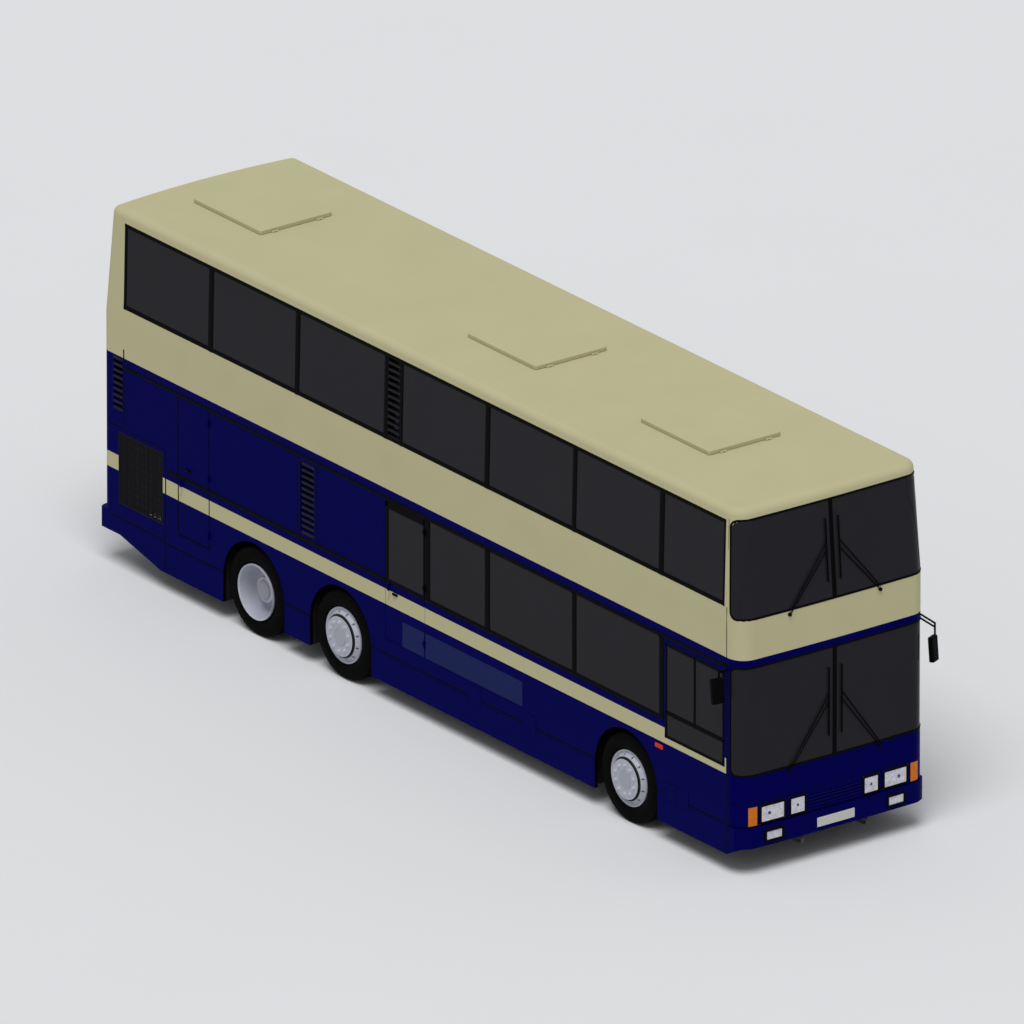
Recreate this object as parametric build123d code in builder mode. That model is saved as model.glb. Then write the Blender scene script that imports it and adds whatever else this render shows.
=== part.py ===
"""Three-axle double-decker coach with right-hand drive, as an assembly of its real pieces.

The front faces -Y, the kerb (left) side is +X, the offside (right) is -X and +Z is up.
The origin is on the ground, on the centreline, midway between the two bumpers.
All sizes are in millimetres.
"""

import os
from math import sqrt

from build123d import *

os.makedirs("parts", exist_ok=True)

# ---------------------------------------------------------------- driving sizes
# Body as a whole
overall_length = 11490  # over both bumpers
body_width = 2500
overall_height = 4145  # ground to the top of the roof panel
skirt_clearance = 219  # ground to the lower edge of the side panels
wall = 40  # side, front, rear and roof panels, from outer skin to lining
skin_gap = 6  # running gap round a door, lid or flap
pin_play = 0.3  # radial clearance of a hinge pin in its sleeve

# Plan of the body
front_bumper_proud = 25
rear_bumper_proud = 60
front_bow = 21  # how far the middle of the front bows out
rear_bow = 75
front_corner_radius = 200
rear_corner_radius = 95
front_cap_length = 245
rear_cap_length = 190

# Lean of the upper deck, at roof height
front_lean = 101
rear_lean = 114
side_lean = 29
cove_radius = 85  # rounding between the roof and its sides

# Levels above the ground
waist_z = 2462  # joint between lower and upper body panels
lean_z = 2909  # foot of the upper windscreen, where the lean starts
cant_z = 4049  # joint between the upper sides and the roof panel
bumper_top_z = 549
bumper_bottom_z = 319
rear_bumper_bottom_z = 397
rear_bumper_top_z = 629

# Axles and wheels
front_overhang = 2034  # front bumper to front axle
wheelbase = 5066  # front axle to middle axle
tandem_spacing = 1555  # middle axle to rear axle
tyre_radius = 500
tyre_width = 280
tyre_inset = 25  # tyre sidewall behind the side panel
twin_spacing = 330  # between the middles of twin tyres
bead_radius = 300
rim_lip_radius = 328
kingpin_offset = 190  # kingpin to the middle of the front tyre
arch_half_width = 550
arch_rise = 20  # arch centre above the wheel centre
liner_sheet = 8

# Side glazing and doors, as lengths along the side
window_post = 45
window_radius = 35
glass = 8
glass_inset = 3
upper_sill_z = 3039
upper_head_z = 4029
upper_front_gap = 10
upper_first_window = 1107
upper_window = 1510
upper_front_windows = 4
upper_rear_windows = 3
air_panel = 280
lower_sill_z = 1428
lower_head_z = 2328
cab_window_start = 55
cab_window_length = 1015
cab_sill_z = 1201
cab_head_z = 2271
cab_pillar = 110
lower_window = 1490
short_window = 1015
door_pillar = 62
emergency_door_width = 697
emergency_door_foot_z = 743
emergency_glass_z0 = 1437
emergency_glass_z1 = 2252
door_glass_margin = 30
locker_door_start = 9190
locker_door_width = 555
locker_door_foot_z = 752
locker_door_head_z = 2349
entrance_start = 60
entrance_width = 830
entrance_foot_z = 290

# Air intakes in the sides
small_louvre_start = 10730
small_louvre_width = 190
small_louvre_z0 = 1829
small_louvre_z1 = 2449
small_louvre_blades = 9
bay_louvre_start = 7300
bay_louvre_width = 260
bay_louvre_z0 = 1464
bay_louvre_z1 = 2299
bay_louvre_blades = 12
air_panel_blades = 13
mesh_start = 10020
mesh_width = 800
mesh_z0 = 759
mesh_z1 = 1589
mesh_pitch = 80
mesh_bar = 12
rear_skirt_start = 10060  # where the rear skirt starts to rise
rear_skirt_run = 740

# Front glazing and lamps
pillar_width = 40
lower_screen_z0 = 1129
lower_screen_z1 = 2379
upper_screen_z0 = 2912
upper_screen_z1 = 4029
screen_wrap = 50  # screen edge in front of the seam
screen_radius = 90
lamp_top_z = 779
lamp_foot_z = 569
indicator_x0 = 1020
indicator_width = 104
headlamp_x0 = 650
headlamp_width = 330
small_lamp_x0 = 380
small_lamp_width = 215
lamp_proud = 6
lamp_seat = 12
grille_width = 720
grille_slats = 4
fog_lamp_x0 = 690
fog_lamp_width = 237
fog_lamp_z0 = 360
fog_lamp_height = 130

# Roof hatches
hatch_width = 960
hatch_length = 1215
hatch_height = 45
hatch_rim = 60  # roof left under the edge of a lid
hatch_starts = (1330, 4390, 9290)
roof_rail = 200  # moulded rail along each edge of the roof
roof_dome = 300  # moulded dome at each end of the roof

# Floors and inner walls
floor_z = 620
floor_thickness = 40
upper_floor_z = 2400
upper_floor_thickness = 50
saloon_length = 6090  # front seam to the bulkhead behind the saloon
hold_floor_z = 930
bulkhead = 30
engine_bay_start = 9880

# Hinges and handles
hinge_offset = 12  # pin outside the skin
hinge_radius = 9
hinge_pin = 5
hinge_sleeve_length = 25
hinge_knuckle_length = 30
hinge_end_play = 1
hinge_gusset = 8
hinge_top = 2
hinge_bite = 2
hinge_lug = 28
hinge_margin = 150
handle_margin = 60
handle_proud = 18
handle_width = 24
handle_length = 150
handle_z = 1304
entrance_margin = 90

# Louvres and mesh
louvre_frame = 10
louvre_tilt = 40
louvre_depth = 44
louvre_sheet = 4
mesh_frame = 14
mesh_recess = 8

# Front grille
grille_margin = 30
grille_proud = 2
slat_share = 0.5  # height of a slat as a share of the pitch

# Rear
engine_lid_width = 1800
engine_lid_z0 = 660
engine_lid_z1 = 1650
engine_hinge_x = 600
rear_window_width = 1900
rear_window_z0 = 3150
rear_window_z1 = 3850
tail_lamp_x0 = 990
tail_lamp_width = 110
tail_lamp_z0 = 760
tail_lamp_height = 620

# Hatch lids
hatch_hinge_gap = 14
hatch_hinge_x = 300
hatch_corner = 30
hatch_edge = 12

# Wheel boxes, floors and inner walls
front_box_half = 630
front_box_x = 600
rear_box_half = 560
middle_box_x = 900
rear_box_x = 590
box_top_z = 1090
box_corner = 200
axle_slot = 190  # half width of the slot for the axle in a wheel box
axle_slot_z = 720
step_well_x = 700
step_foot_z = 340
step_sheet = 20
stair_gap = 10
engine_deck_z = 1690

# Cab
dash_depth = 420
dash_top_z = 1180
dash_edge = 60
dash_end_x = 560
driver_x = 700
steering_z = 1330
steering_radius = 230
steering_rim = 16
steering_hub = 45
column_reach = 60
column_rake = 1.6
column_radius = 30
column_length = 420
driver_start = 560
driver_seat_width = 500
cab_partition_start = 1100
cab_width = 900

# Seats
seat_wall_gap = 20
upper_seats_start = 900
lower_seats_start = 2960

# Chassis details
rail_overlap = 100
front_members = (150, 1120, 2440, 3900, 5200)
outriggers = (1010, 2600, 3900, 5200)
outrigger_depth = 80
bellows_reach = 400
tow_eye_wall = 20
tow_inset = 60
tow_gap = 12
tow_hanger = 60
jack_pad = 120
jack_pad_sheet = 12
engine_edge = 60
radiator_stand = 15
tank_start = 2750
tank_x0 = 520
tank_edge = 60

# Axle and knuckle details
beam_depth = 80
boss_radius = 44
boss_height = 90
kingpin_radius = 22
knuckle_arm = 30
knuckle_room = 2
web_reach = 75
hub_stand = 20
stub_overhang = 60
rear_stub_end = -75
spring_pad = 20
spring_hanger = 15

# Tyre and rim details
bead_tuck = 25
shoulder = 30
sidewall_tuck = 12
bulge_radius = 400
cone_radius = 215
drum_radius = 190
drum_stand = 615
single_root = 20
single_disc = 80
single_hub_depth = 105
hub_step = 15
cap_step = 35
twin_root = 50
twin_hub_outer = -60

# Mirrors and wipers
mirror_gap = 70
mirror_width = 135
mirror_depth = 70
mirror_corner = 25
mirror_edge = 15
mirror_arm = 11
right_mirror_z = (1949, 2319)
left_mirror_z = (1839, 2139)
left_mirror_reach = 170
left_arm_root_x = 1180
left_arm_z = 2419
left_arm_step = 60
left_arm_fall = 60
wiper_drop = 40
wiper_pivot_x = 600
wiper_blade_x = 85
wiper_stand = 14
wiper_arm = 6
wiper_boss = 20
wiper_blade = 9
wiper_link = 90
upper_blade_z = (3119, 3819)
lower_blade_z = (1369, 2149)

# Chassis
rail_half_spacing = 430
rail_width = 70
rail_depth = 190
rail_sheet = 8
rear_rail_depth = 170
cross_member = 60
axle_beam = 90
beam_drop = 190
tube_radius = 55
drive_tube_radius = 75
banjo_radius = 170
spring_width = 75
spring_thickness = 30
spring_half_length = 600
bellows_radius = 120
tow_eye_bore = 25
tow_eye_sheet = 30

# Engine, radiator and tank
engine_width = 760
engine_length = 860
engine_height = 850
engine_z0 = 480
radiator_depth = 110
tank_width = 420
tank_length = 900
tank_height = 330

# Wheels and hubs
rim_sheet = 12
hub_radius = 140
cap_radius = 95
stub_radius = 40
knuckle_radius = 48

# Seats and stairs
seat_pitch = 760
bench_width = 890
bench_depth = 430
bench_height = 430
cushion_thickness = 110
back_height = 560
back_thickness = 90
leg = 50
upper_rows = 12
lower_rows = 4
stair_start = 2880  # foot of the stairs behind the front seam
stair_steps = 7
stair_going = 245
stair_width = 600
tread = 35
stair_head_room = 300

# ---------------------------------------------------------------- derived places
side_x = body_width / 2
front_y = -overall_length / 2
rear_y = overall_length / 2
nose_y = front_y + front_bumper_proud
tail_y = rear_y - rear_bumper_proud
front_seam_y = nose_y + front_cap_length
rear_seam_y = tail_y - rear_cap_length
front_axle_y = front_y + front_overhang
middle_axle_y = front_axle_y + wheelbase
rear_axle_y = middle_axle_y + tandem_spacing
tyre_x = side_x - tyre_inset - tyre_width / 2
twin_x = tyre_x - twin_spacing
kingpin_x = tyre_x - kingpin_offset
arch_z = tyre_radius + arch_rise
inner_x = side_x - wall
reach = 60  # how far a cutter stands outside the body


def behind_seam(distance):
    """Y of a place on the side, given its distance behind the front seam."""
    return front_seam_y + distance


# ---------------------------------------------------------------- shared forms
def block(x, y, z, mode=Mode.ADD):
    """Block between two corners, each axis given as a (low, high) pair."""
    with Locations(((x[0] + x[1]) / 2, (y[0] + y[1]) / 2, (z[0] + z[1]) / 2)):
        Box(x[1] - x[0], y[1] - y[0], z[1] - z[0], mode=mode)


def window(u, v, radius=0.0):
    """Rectangle between two corners of the current sketch, rounded if asked."""
    with Locations(((u[0] + u[1]) / 2, (v[0] + v[1]) / 2)):
        if radius:
            RectangleRounded(u[1] - u[0], v[1] - v[0], radius)
        else:
            Rectangle(u[1] - u[0], v[1] - v[0])


def plan_at(level, inset):
    """Plan of the body at one level, with every wall moved in by inset."""
    lean = max(0.0, (level - lean_z) / (overall_height - lean_z))
    half = side_x - side_lean * lean - inset
    nose = nose_y + front_lean * lean + inset
    tail = tail_y - rear_lean * lean - inset
    with BuildSketch(Plane.XY.offset(level)) as plan:
        with BuildLine():
            ThreePointArc((-half, nose + front_bow), (0, nose), (half, nose + front_bow))
            Line((half, nose + front_bow), (half, tail - rear_bow))
            ThreePointArc((half, tail - rear_bow), (0, tail), (-half, tail - rear_bow))
            Line((-half, tail - rear_bow), (-half, nose + front_bow))
        make_face()
        fillet(plan.vertices().group_by(Axis.Y)[0], front_corner_radius - inset)
        fillet(plan.vertices().group_by(Axis.Y)[-1], rear_corner_radius - inset)
    return plan.sketch


def body_block(inset, foot_z=skirt_clearance):
    """The whole outer form of the body as one block, every face moved in by inset."""
    top_z = overall_height - inset
    with BuildPart() as form:
        extrude(plan_at(foot_z, inset), amount=lean_z - foot_z)
        loft([plan_at(lean_z, inset), plan_at(top_z, inset)])
        fillet(form.edges().group_by(Axis.Z)[-1], cove_radius - inset)
    return form.part


wide_x = (-side_x - reach, side_x + reach)
upper_rear_seam_y = rear_seam_y - rear_lean
zones = {
    # name: (X pair, Y pair, Z pair) of a part of the body
    "front": (wide_x, (front_y - reach, front_seam_y), (skirt_clearance, cant_z)),
    "rear": (wide_x, (upper_rear_seam_y, rear_y + reach), (skirt_clearance, cant_z)),
    "right": ((-side_x - reach, -side_x / 2), (front_seam_y, rear_seam_y), (skirt_clearance, cant_z)),
    "left": ((side_x / 2, side_x + reach), (front_seam_y, rear_seam_y), (skirt_clearance, cant_z)),
    "roof": (wide_x, (front_y, rear_y), (cant_z, overall_height + reach)),
}
blocks = {}
layers = {}


def skin(outer, inner, zone):
    """Layer of the body between two insets in one zone, made once and then reused."""
    for inset in (outer, inner):
        if inset not in blocks:
            blocks[inset] = body_block(inset)
    if (outer, inner, zone) not in layers:
        with BuildPart() as layer:
            add(blocks[outer])
            block(*zones[zone], Mode.INTERSECT)
            add(blocks[inner], mode=Mode.SUBTRACT)
        layers[outer, inner, zone] = layer.part
    return layers[outer, inner, zone]


def slice_of(layer, y, z):
    """Add the piece of a layer between two Y and two Z levels."""
    add(layer)
    block(wide_x, y, z, Mode.INTERSECT)


def side_plane(side):
    """Plane outside one side wall, whose sketches are drawn in Y and Z."""
    return Plane.YZ.offset(side * (side_x + reach))


def through_side(side, depth=wall + 2 * reach, mode=Mode.SUBTRACT):
    """Extrude the pending sketch inwards through one side wall."""
    extrude(amount=-side * depth, mode=mode)


# Sketches on these planes are drawn in X and Z
front_plane = Plane(origin=(0, nose_y - reach, 0), x_dir=(1, 0, 0), z_dir=(0, -1, 0))
rear_plane = Plane(origin=(0, tail_y + reach, 0), x_dir=(1, 0, 0), z_dir=(0, -1, 0))


def save(piece, name):
    """Label one finished piece and write it as its own STEP file."""
    piece.part.label = name
    export_step(piece.part, f"parts/{name}.step")


def save_set(pieces, name):
    """Label pieces that meet face to face and write them together as one STEP file."""
    whole = Compound([solid for piece in pieces for solid in piece.solids()])
    whole.label = name
    export_step(whole, f"parts/{name}.step")

# ---------------------------------------------------------------- places along the sides
def window_row(start, lengths):
    """(low, high) Y of the windows in a row, one window post apart."""
    row = []
    for length in lengths:
        row.append((behind_seam(start), behind_seam(start + length)))
        start += length + window_post
    return row


def grown(pair, gap):
    """A (low, high) pair with a gap added at both ends."""
    return (pair[0] - gap, pair[1] + gap)


cab_window_y = (behind_seam(cab_window_start), behind_seam(cab_window_start + cab_window_length))
lower_row = window_row(
    cab_window_start + cab_window_length + cab_pillar,
    [lower_window, lower_window, short_window],
)
door_start_y = lower_row[-1][1] + door_pillar
emergency_door_y = (door_start_y, door_start_y + emergency_door_width)
rear_left_window_y = (lower_row[-1][1] + window_post, emergency_door_y[1])
entrance_y = (behind_seam(entrance_start), behind_seam(entrance_start + entrance_width))
locker_door_y = (behind_seam(locker_door_start), behind_seam(locker_door_start + locker_door_width))

upper_front_lengths = [upper_first_window] + [upper_window] * (upper_front_windows - 1)
upper_front_row = window_row(upper_front_gap, upper_front_lengths)
air_panel_y = (upper_front_row[-1][1], upper_front_row[-1][1] + air_panel)
upper_rear_row = window_row(air_panel_y[1] - front_seam_y, [upper_window] * upper_rear_windows)
upper_rows_y = upper_front_row + upper_rear_row

small_louvre_y = (behind_seam(small_louvre_start), behind_seam(small_louvre_start + small_louvre_width))
bay_louvre_y = (behind_seam(bay_louvre_start), behind_seam(bay_louvre_start + bay_louvre_width))
mesh_y = (behind_seam(mesh_start), behind_seam(mesh_start + mesh_width))

lower_window_z = (lower_sill_z, lower_head_z)
upper_window_z = (upper_sill_z, upper_head_z)
cab_window_z = (cab_sill_z, cab_head_z)
emergency_door_z = (emergency_door_foot_z, lower_head_z)
emergency_glass_y = grown(emergency_door_y, -door_glass_margin)
emergency_glass_z = (emergency_glass_z0, emergency_glass_z1)
locker_door_z = (locker_door_foot_z, locker_door_head_z)
entrance_z = (entrance_foot_z, lower_head_z)
entrance_glass_y = grown(entrance_y, -entrance_margin)
entrance_glass_z = (entrance_foot_z + entrance_margin, lower_head_z - entrance_margin)

# (Y pair, Z pair) of each louvred opening in one side wall
louvres = [
    (small_louvre_y, (small_louvre_z0, small_louvre_z1), small_louvre_blades),
    (bay_louvre_y, (bay_louvre_z0, bay_louvre_z1), bay_louvre_blades),
]
upper_louvre = (grown(air_panel_y, -window_post / 2), upper_window_z, air_panel_blades)
mesh_z = (mesh_z0, mesh_z1)

hands = {-1: "right", 1: "left"}


def arch(axle_y):
    """Wheel arch drawn in the current Y-Z sketch."""
    with Locations((axle_y, arch_z)):
        Circle(arch_half_width)
        Rectangle(2 * arch_half_width, arch_z, align=(Align.CENTER, Align.MAX))


def skirt_rise():
    """What the rising rear skirt leaves open below it, in the current Y-Z sketch."""
    start = (behind_seam(rear_skirt_start), skirt_clearance)
    corner = (start[0] + rear_skirt_run, rear_bumper_bottom_z)
    Polygon(start, corner, (rear_y, corner[1]), (rear_y, 0), (start[0], 0), align=None)


# ---------------------------------------------------------------- hinges
def side_hinge(side, y, z):
    """Hinge frame on a side wall: local X along the leaf, Y outwards, Z along the pin."""
    return Plane(origin=(side * (side_x + hinge_offset), y, z), x_dir=(0, 1, 0), z_dir=(0, 0, -side))


def hinge_sleeves(frame, drop=0.0):
    """Fixed half of a hinge: two sleeves on a gusset that stands on the skin."""
    step = (hinge_knuckle_length + hinge_sleeve_length) / 2 + hinge_end_play
    low = -hinge_offset - drop - hinge_bite
    with Locations(frame):
        for end in (-1, 1):
            with Locations((0, 0, end * step)):
                Cylinder(hinge_radius, hinge_sleeve_length)
            with Locations((-hinge_radius, (low + hinge_top) / 2, end * step)):
                Box(hinge_gusset, hinge_top - low, hinge_sleeve_length)
        Cylinder(hinge_pin + pin_play, 4 * step, mode=Mode.SUBTRACT)


def hinge_pin_and_lug(frame, low=None, drop=0.0):
    """Moving half of a hinge: knuckle with its pin, on a lug that stands on the leaf."""
    if low is None:
        low = -hinge_offset - drop - hinge_bite
    pin_length = hinge_knuckle_length + 2 * (hinge_sleeve_length + hinge_end_play)
    with Locations(frame):
        Cylinder(hinge_radius, hinge_knuckle_length)
        Cylinder(hinge_pin, pin_length)
        with Locations((hinge_radius / 2, (low + hinge_top) / 2)):
            Box(hinge_lug, hinge_top - low, hinge_knuckle_length, align=(Align.MIN, Align.CENTER, Align.CENTER))


def hinge_heights(z, count=3):
    """Heights of the hinges along an upright door edge."""
    margin = hinge_margin
    return [z[0] + margin + (z[1] - z[0] - 2 * margin) * n / (count - 1) for n in range(count)]


# Every side door turns about an upright pin at its front edge
side_doors = [
    # name, side, Y pair, Z pair, hinges
    ("emergency_door", -1, emergency_door_y, emergency_door_z, 3),
    ("locker_door", -1, locker_door_y, locker_door_z, 3),
    ("entrance_door", 1, entrance_y, entrance_z, 3),
]

# ---------------------------------------------------------------- lower side walls
for side, hand in hands.items():
    with BuildPart() as lower_side:
        slice_of(skin(0, wall, hand), (front_seam_y, rear_seam_y), (skirt_clearance, waist_z))
        with BuildSketch(side_plane(side)):
            for axle_y in (front_axle_y, middle_axle_y, rear_axle_y):
                arch(axle_y)
            skirt_rise()
            for pane_y in lower_row:
                window(pane_y, lower_window_z, window_radius)
            if side < 0:
                window(cab_window_y, cab_window_z, window_radius)
            else:
                window(rear_left_window_y, lower_window_z, window_radius)
            for panel_y, panel_z, blades in louvres:
                window(panel_y, panel_z)
            window(mesh_y, mesh_z)
        through_side(side)
        with BuildSketch(side_plane(side)):
            for name, door_side, door_y, door_z, hinges in side_doors:
                if door_side == side:
                    window(grown(door_y, skin_gap), grown(door_z, skin_gap))
        through_side(side)
        for name, door_side, door_y, door_z, hinges in side_doors:
            if door_side == side:
                for z in hinge_heights(door_z, hinges):
                    hinge_sleeves(side_hinge(side, door_y[0] - skin_gap / 2, z))
    save(lower_side, f"{hand}_lower_side")

    with BuildPart() as upper_side:
        slice_of(skin(0, wall, hand), (front_seam_y, upper_rear_seam_y), (waist_z, cant_z))
        with BuildSketch(side_plane(side)):
            for pane_y in upper_rows_y:
                window(pane_y, upper_window_z, window_radius)
            window(upper_louvre[0], upper_louvre[1])
        through_side(side)
    save(upper_side, f"{hand}_upper_side")


def side_panes(side):
    """Panes of both decks on one side; they fill their openings just inside the skin."""
    with BuildPart() as panes:
        add(skin(glass_inset, glass_inset + glass, hands[side]))
        with BuildSketch(side_plane(side)):
            for pane_y in lower_row:
                window(pane_y, lower_window_z, window_radius)
            for pane_y in upper_rows_y:
                window(pane_y, upper_window_z, window_radius)
            if side < 0:
                window(cab_window_y, cab_window_z, window_radius)
            else:
                window(rear_left_window_y, lower_window_z, window_radius)
        through_side(side, mode=Mode.INTERSECT)
    return panes.part


with BuildPart() as side_glass:
    for side in hands:
        add(side_panes(side))
save(side_glass, "side_glass")

# ---------------------------------------------------------------- side doors
door_glazing = {
    "emergency_door": (emergency_glass_y, emergency_glass_z),
    "entrance_door": (entrance_glass_y, entrance_glass_z),
}
for name, side, door_y, door_z, hinges in side_doors:
    with BuildPart() as door:
        slice_of(skin(0, wall, hands[side]), door_y, door_z)
        if name in door_glazing:
            with BuildSketch(side_plane(side)):
                window(*door_glazing[name], window_radius)
            through_side(side)
        for z in hinge_heights(door_z, hinges):
            hinge_pin_and_lug(side_hinge(side, door_y[0] - skin_gap / 2, z))
        handle_y = door_y[1] - handle_margin
        with Locations((side * (side_x + handle_proud / 2), handle_y, handle_z)):
            Box(handle_proud, handle_width, handle_length)
    save(door, name)
    if name in door_glazing:
        with BuildPart() as door_pane:
            slice_of(skin(glass_inset, glass_inset + glass, hands[side]), door_y, door_z)
            with BuildSketch(side_plane(side)):
                window(*door_glazing[name], window_radius)
            through_side(side, mode=Mode.INTERSECT)
        save(door_pane, f"{name}_glass")

# ---------------------------------------------------------------- louvres and mesh in the sides
def lean_at(z):
    """How far a side wall leans inwards at one height."""
    return side_lean * max(0.0, (z - lean_z) / (overall_height - lean_z))


def louvre_panel(side, y, z, blades):
    """Frame and slanted blades that fill one opening of a side wall."""
    with BuildPart() as panel:
        slice_of(skin(0, wall, hands[side]), y, z)
        with BuildSketch(side_plane(side)):
            window(grown(y, -louvre_frame), grown(z, -louvre_frame))
        through_side(side)
        pitch = (z[1] - z[0]) / blades
        for n in range(blades):
            height = z[0] + (n + 0.5) * pitch
            centre_x = side * (side_x - wall / 2 - lean_at(height))
            with Locations(Location((centre_x, (y[0] + y[1]) / 2, height), (0, side * louvre_tilt, 0))):
                Box(louvre_depth, y[1] - y[0] - louvre_frame, louvre_sheet)
    return panel.part


with BuildPart() as side_louvres:
    for side in hands:
        for panel_y, panel_z, blades in louvres + [upper_louvre]:
            add(louvre_panel(side, panel_y, panel_z, blades))
save(side_louvres, "side_louvres")


def mesh_panel(side):
    """Framed mesh that covers the radiator opening of one side wall."""
    with BuildPart() as panel:
        slice_of(skin(0, wall, hands[side]), mesh_y, mesh_z)
        with BuildSketch(side_plane(side)):
            window(grown(mesh_y, -mesh_frame), grown(mesh_z, -mesh_frame))
        through_side(side)
        middle = ((mesh_y[0] + mesh_y[1]) / 2, (mesh_z[0] + mesh_z[1]) / 2)
        upright_count = int((mesh_y[1] - mesh_y[0]) / mesh_pitch)
        level_count = int((mesh_z[1] - mesh_z[0]) / mesh_pitch)
        with BuildSketch(Plane.YZ.offset(side * (side_x - mesh_recess))):
            with Locations(middle):
                with GridLocations(mesh_pitch, 0, upright_count, 1):
                    Rectangle(mesh_bar, mesh_z[1] - mesh_z[0] - mesh_frame)
                with GridLocations(0, mesh_pitch, 1, level_count):
                    Rectangle(mesh_y[1] - mesh_y[0] - mesh_frame, mesh_bar)
        extrude(amount=-side * mesh_bar)
    return panel.part


# ---------------------------------------------------------------- front
front_y_range = (front_y - reach, front_seam_y)
lower_screen_z = (lower_screen_z0, lower_screen_z1)
upper_screen_z = (upper_screen_z0, upper_screen_z1)


def screen_cutter(z):
    """Form that cuts both halves of a wrap-round screen and leaves the centre pillar."""
    with BuildPart() as cutter:
        with BuildSketch(side_plane(-1)):
            window((front_y - 2 * screen_radius, front_seam_y - screen_wrap), z, screen_radius)
        extrude(amount=body_width + 2 * reach)
        block((-pillar_width / 2, pillar_width / 2), (front_y - reach * 4, front_seam_y), z, Mode.SUBTRACT)
    return cutter.part


def pair_of(x0, width):
    """Two (low, high) X pairs, one each side of the centreline."""
    return [(x0, x0 + width), (-x0 - width, -x0)]


def front_pieces(outer, inner, pairs, z):
    """Pieces of the front skin between two insets, seen square on from the front."""
    with BuildPart() as pieces:
        add(skin(outer, inner, "front"))
        with BuildSketch(front_plane):
            for x in pairs:
                window(x, z)
        extrude(amount=-front_cap_length - reach * 2, mode=Mode.INTERSECT)
    return pieces.part


rear_y_range = (rear_seam_y, rear_y + reach)


def rear_sag(x):
    """How far the bowed rear lies in front of its middle, at one X."""
    radius = (side_x**2 + rear_bow**2) / (2 * rear_bow)
    return radius - sqrt(radius**2 - x**2)


def rear_pieces(outer, inner, pairs, z, radius=0.0):
    """Pieces of the rear skin between two insets, seen square on from behind."""
    with BuildPart() as pieces:
        add(skin(outer, inner, "rear"))
        with BuildSketch(rear_plane):
            for x in pairs:
                window(x, z, radius)
        extrude(amount=rear_cap_length + reach * 3, mode=Mode.INTERSECT)
    return pieces.part


lamp_z = (lamp_foot_z, lamp_top_z)
fog_z = (fog_lamp_z0, fog_lamp_z0 + fog_lamp_height)
tail_lamp_z = (tail_lamp_z0, tail_lamp_z0 + tail_lamp_height)
with BuildPart() as lamps:
    for x0, width in (
        (headlamp_x0, headlamp_width),
        (small_lamp_x0, small_lamp_width),
        (indicator_x0, indicator_width),
    ):
        add(front_pieces(-lamp_proud, lamp_seat, pair_of(x0, width), lamp_z))
    proud = front_bumper_proud
    add(front_pieces(-proud, lamp_seat - proud, pair_of(fog_lamp_x0, fog_lamp_width), fog_z))
    add(rear_pieces(-lamp_proud, lamp_seat, pair_of(tail_lamp_x0, tail_lamp_width), tail_lamp_z))
save(lamps, "lamps")

grille_x = (-grille_width / 2, grille_width / 2)
slat_pitch = (lamp_top_z - lamp_foot_z - 2 * grille_margin) / grille_slats
with BuildPart() as grilles:
    for side in hands:
        add(mesh_panel(side))
    for n in range(grille_slats):
        slat_z0 = lamp_foot_z + grille_margin + (n + 0.5 - slat_share / 2) * slat_pitch
        add(front_pieces(-grille_proud, lamp_seat, [grille_x], (slat_z0, slat_z0 + slat_share * slat_pitch)))
save(grilles, "grilles")

grille_pocket = front_pieces(-lamp_proud, lamp_seat, [grille_x], grown(lamp_z, -grille_margin))

with BuildPart() as front_lower_panel:
    slice_of(skin(0, wall, "front"), front_y_range, (bumper_top_z, waist_z))
    add(screen_cutter(lower_screen_z), mode=Mode.SUBTRACT)
    add(lamps.part, mode=Mode.SUBTRACT)
    add(grille_pocket, mode=Mode.SUBTRACT)
save(front_lower_panel, "front_lower_panel")

with BuildPart() as front_upper_panel:
    slice_of(skin(0, wall, "front"), front_y_range, (waist_z, cant_z))
    add(screen_cutter((upper_screen_z0, upper_screen_z1)), mode=Mode.SUBTRACT)
save(front_upper_panel, "front_upper_panel")

rear_window_x = (-rear_window_width / 2, rear_window_width / 2)
rear_window_z = (rear_window_z0, rear_window_z1)
with BuildPart() as screens:
    add(skin(glass_inset, glass_inset + glass, "front"))
    with BuildPart(mode=Mode.PRIVATE) as both_cutters:
        add(screen_cutter(lower_screen_z))
        add(screen_cutter(upper_screen_z))
    add(both_cutters.part, mode=Mode.INTERSECT)
    add(rear_pieces(glass_inset, glass_inset + glass, [rear_window_x], rear_window_z, screen_radius))
save(screens, "screens")

# ---------------------------------------------------------------- rear
engine_lid_x = (-engine_lid_width / 2, engine_lid_width / 2)
engine_lid_z = (engine_lid_z0, engine_lid_z1)
engine_lid_hinges = [
    (Plane(origin=(x, tail_y + hinge_offset, engine_lid_z1 + skin_gap / 2), x_dir=(0, 0, -1), z_dir=(1, 0, 0)), x)
    for x in (-engine_hinge_x, engine_hinge_x)
]

with BuildPart() as rear_lower_panel:
    slice_of(skin(0, wall, "rear"), rear_y_range, (rear_bumper_top_z, waist_z))
    with BuildSketch(rear_plane):
        window(grown(engine_lid_x, skin_gap), grown(engine_lid_z, skin_gap))
    extrude(amount=rear_cap_length + reach, mode=Mode.SUBTRACT)
    add(lamps.part, mode=Mode.SUBTRACT)
    for frame, x in engine_lid_hinges:
        hinge_sleeves(frame, drop=rear_sag(x))
save(rear_lower_panel, "rear_lower_panel")

with BuildPart() as engine_lid:
    add(rear_pieces(0, wall, [engine_lid_x], engine_lid_z))
    for frame, x in engine_lid_hinges:
        hinge_pin_and_lug(frame, drop=rear_sag(x))
    with Locations((0, tail_y + handle_proud / 2, engine_lid_z0 + handle_margin)):
        Box(handle_length, handle_proud + 2 * hinge_bite, handle_width)
save(engine_lid, "engine_lid")

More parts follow.
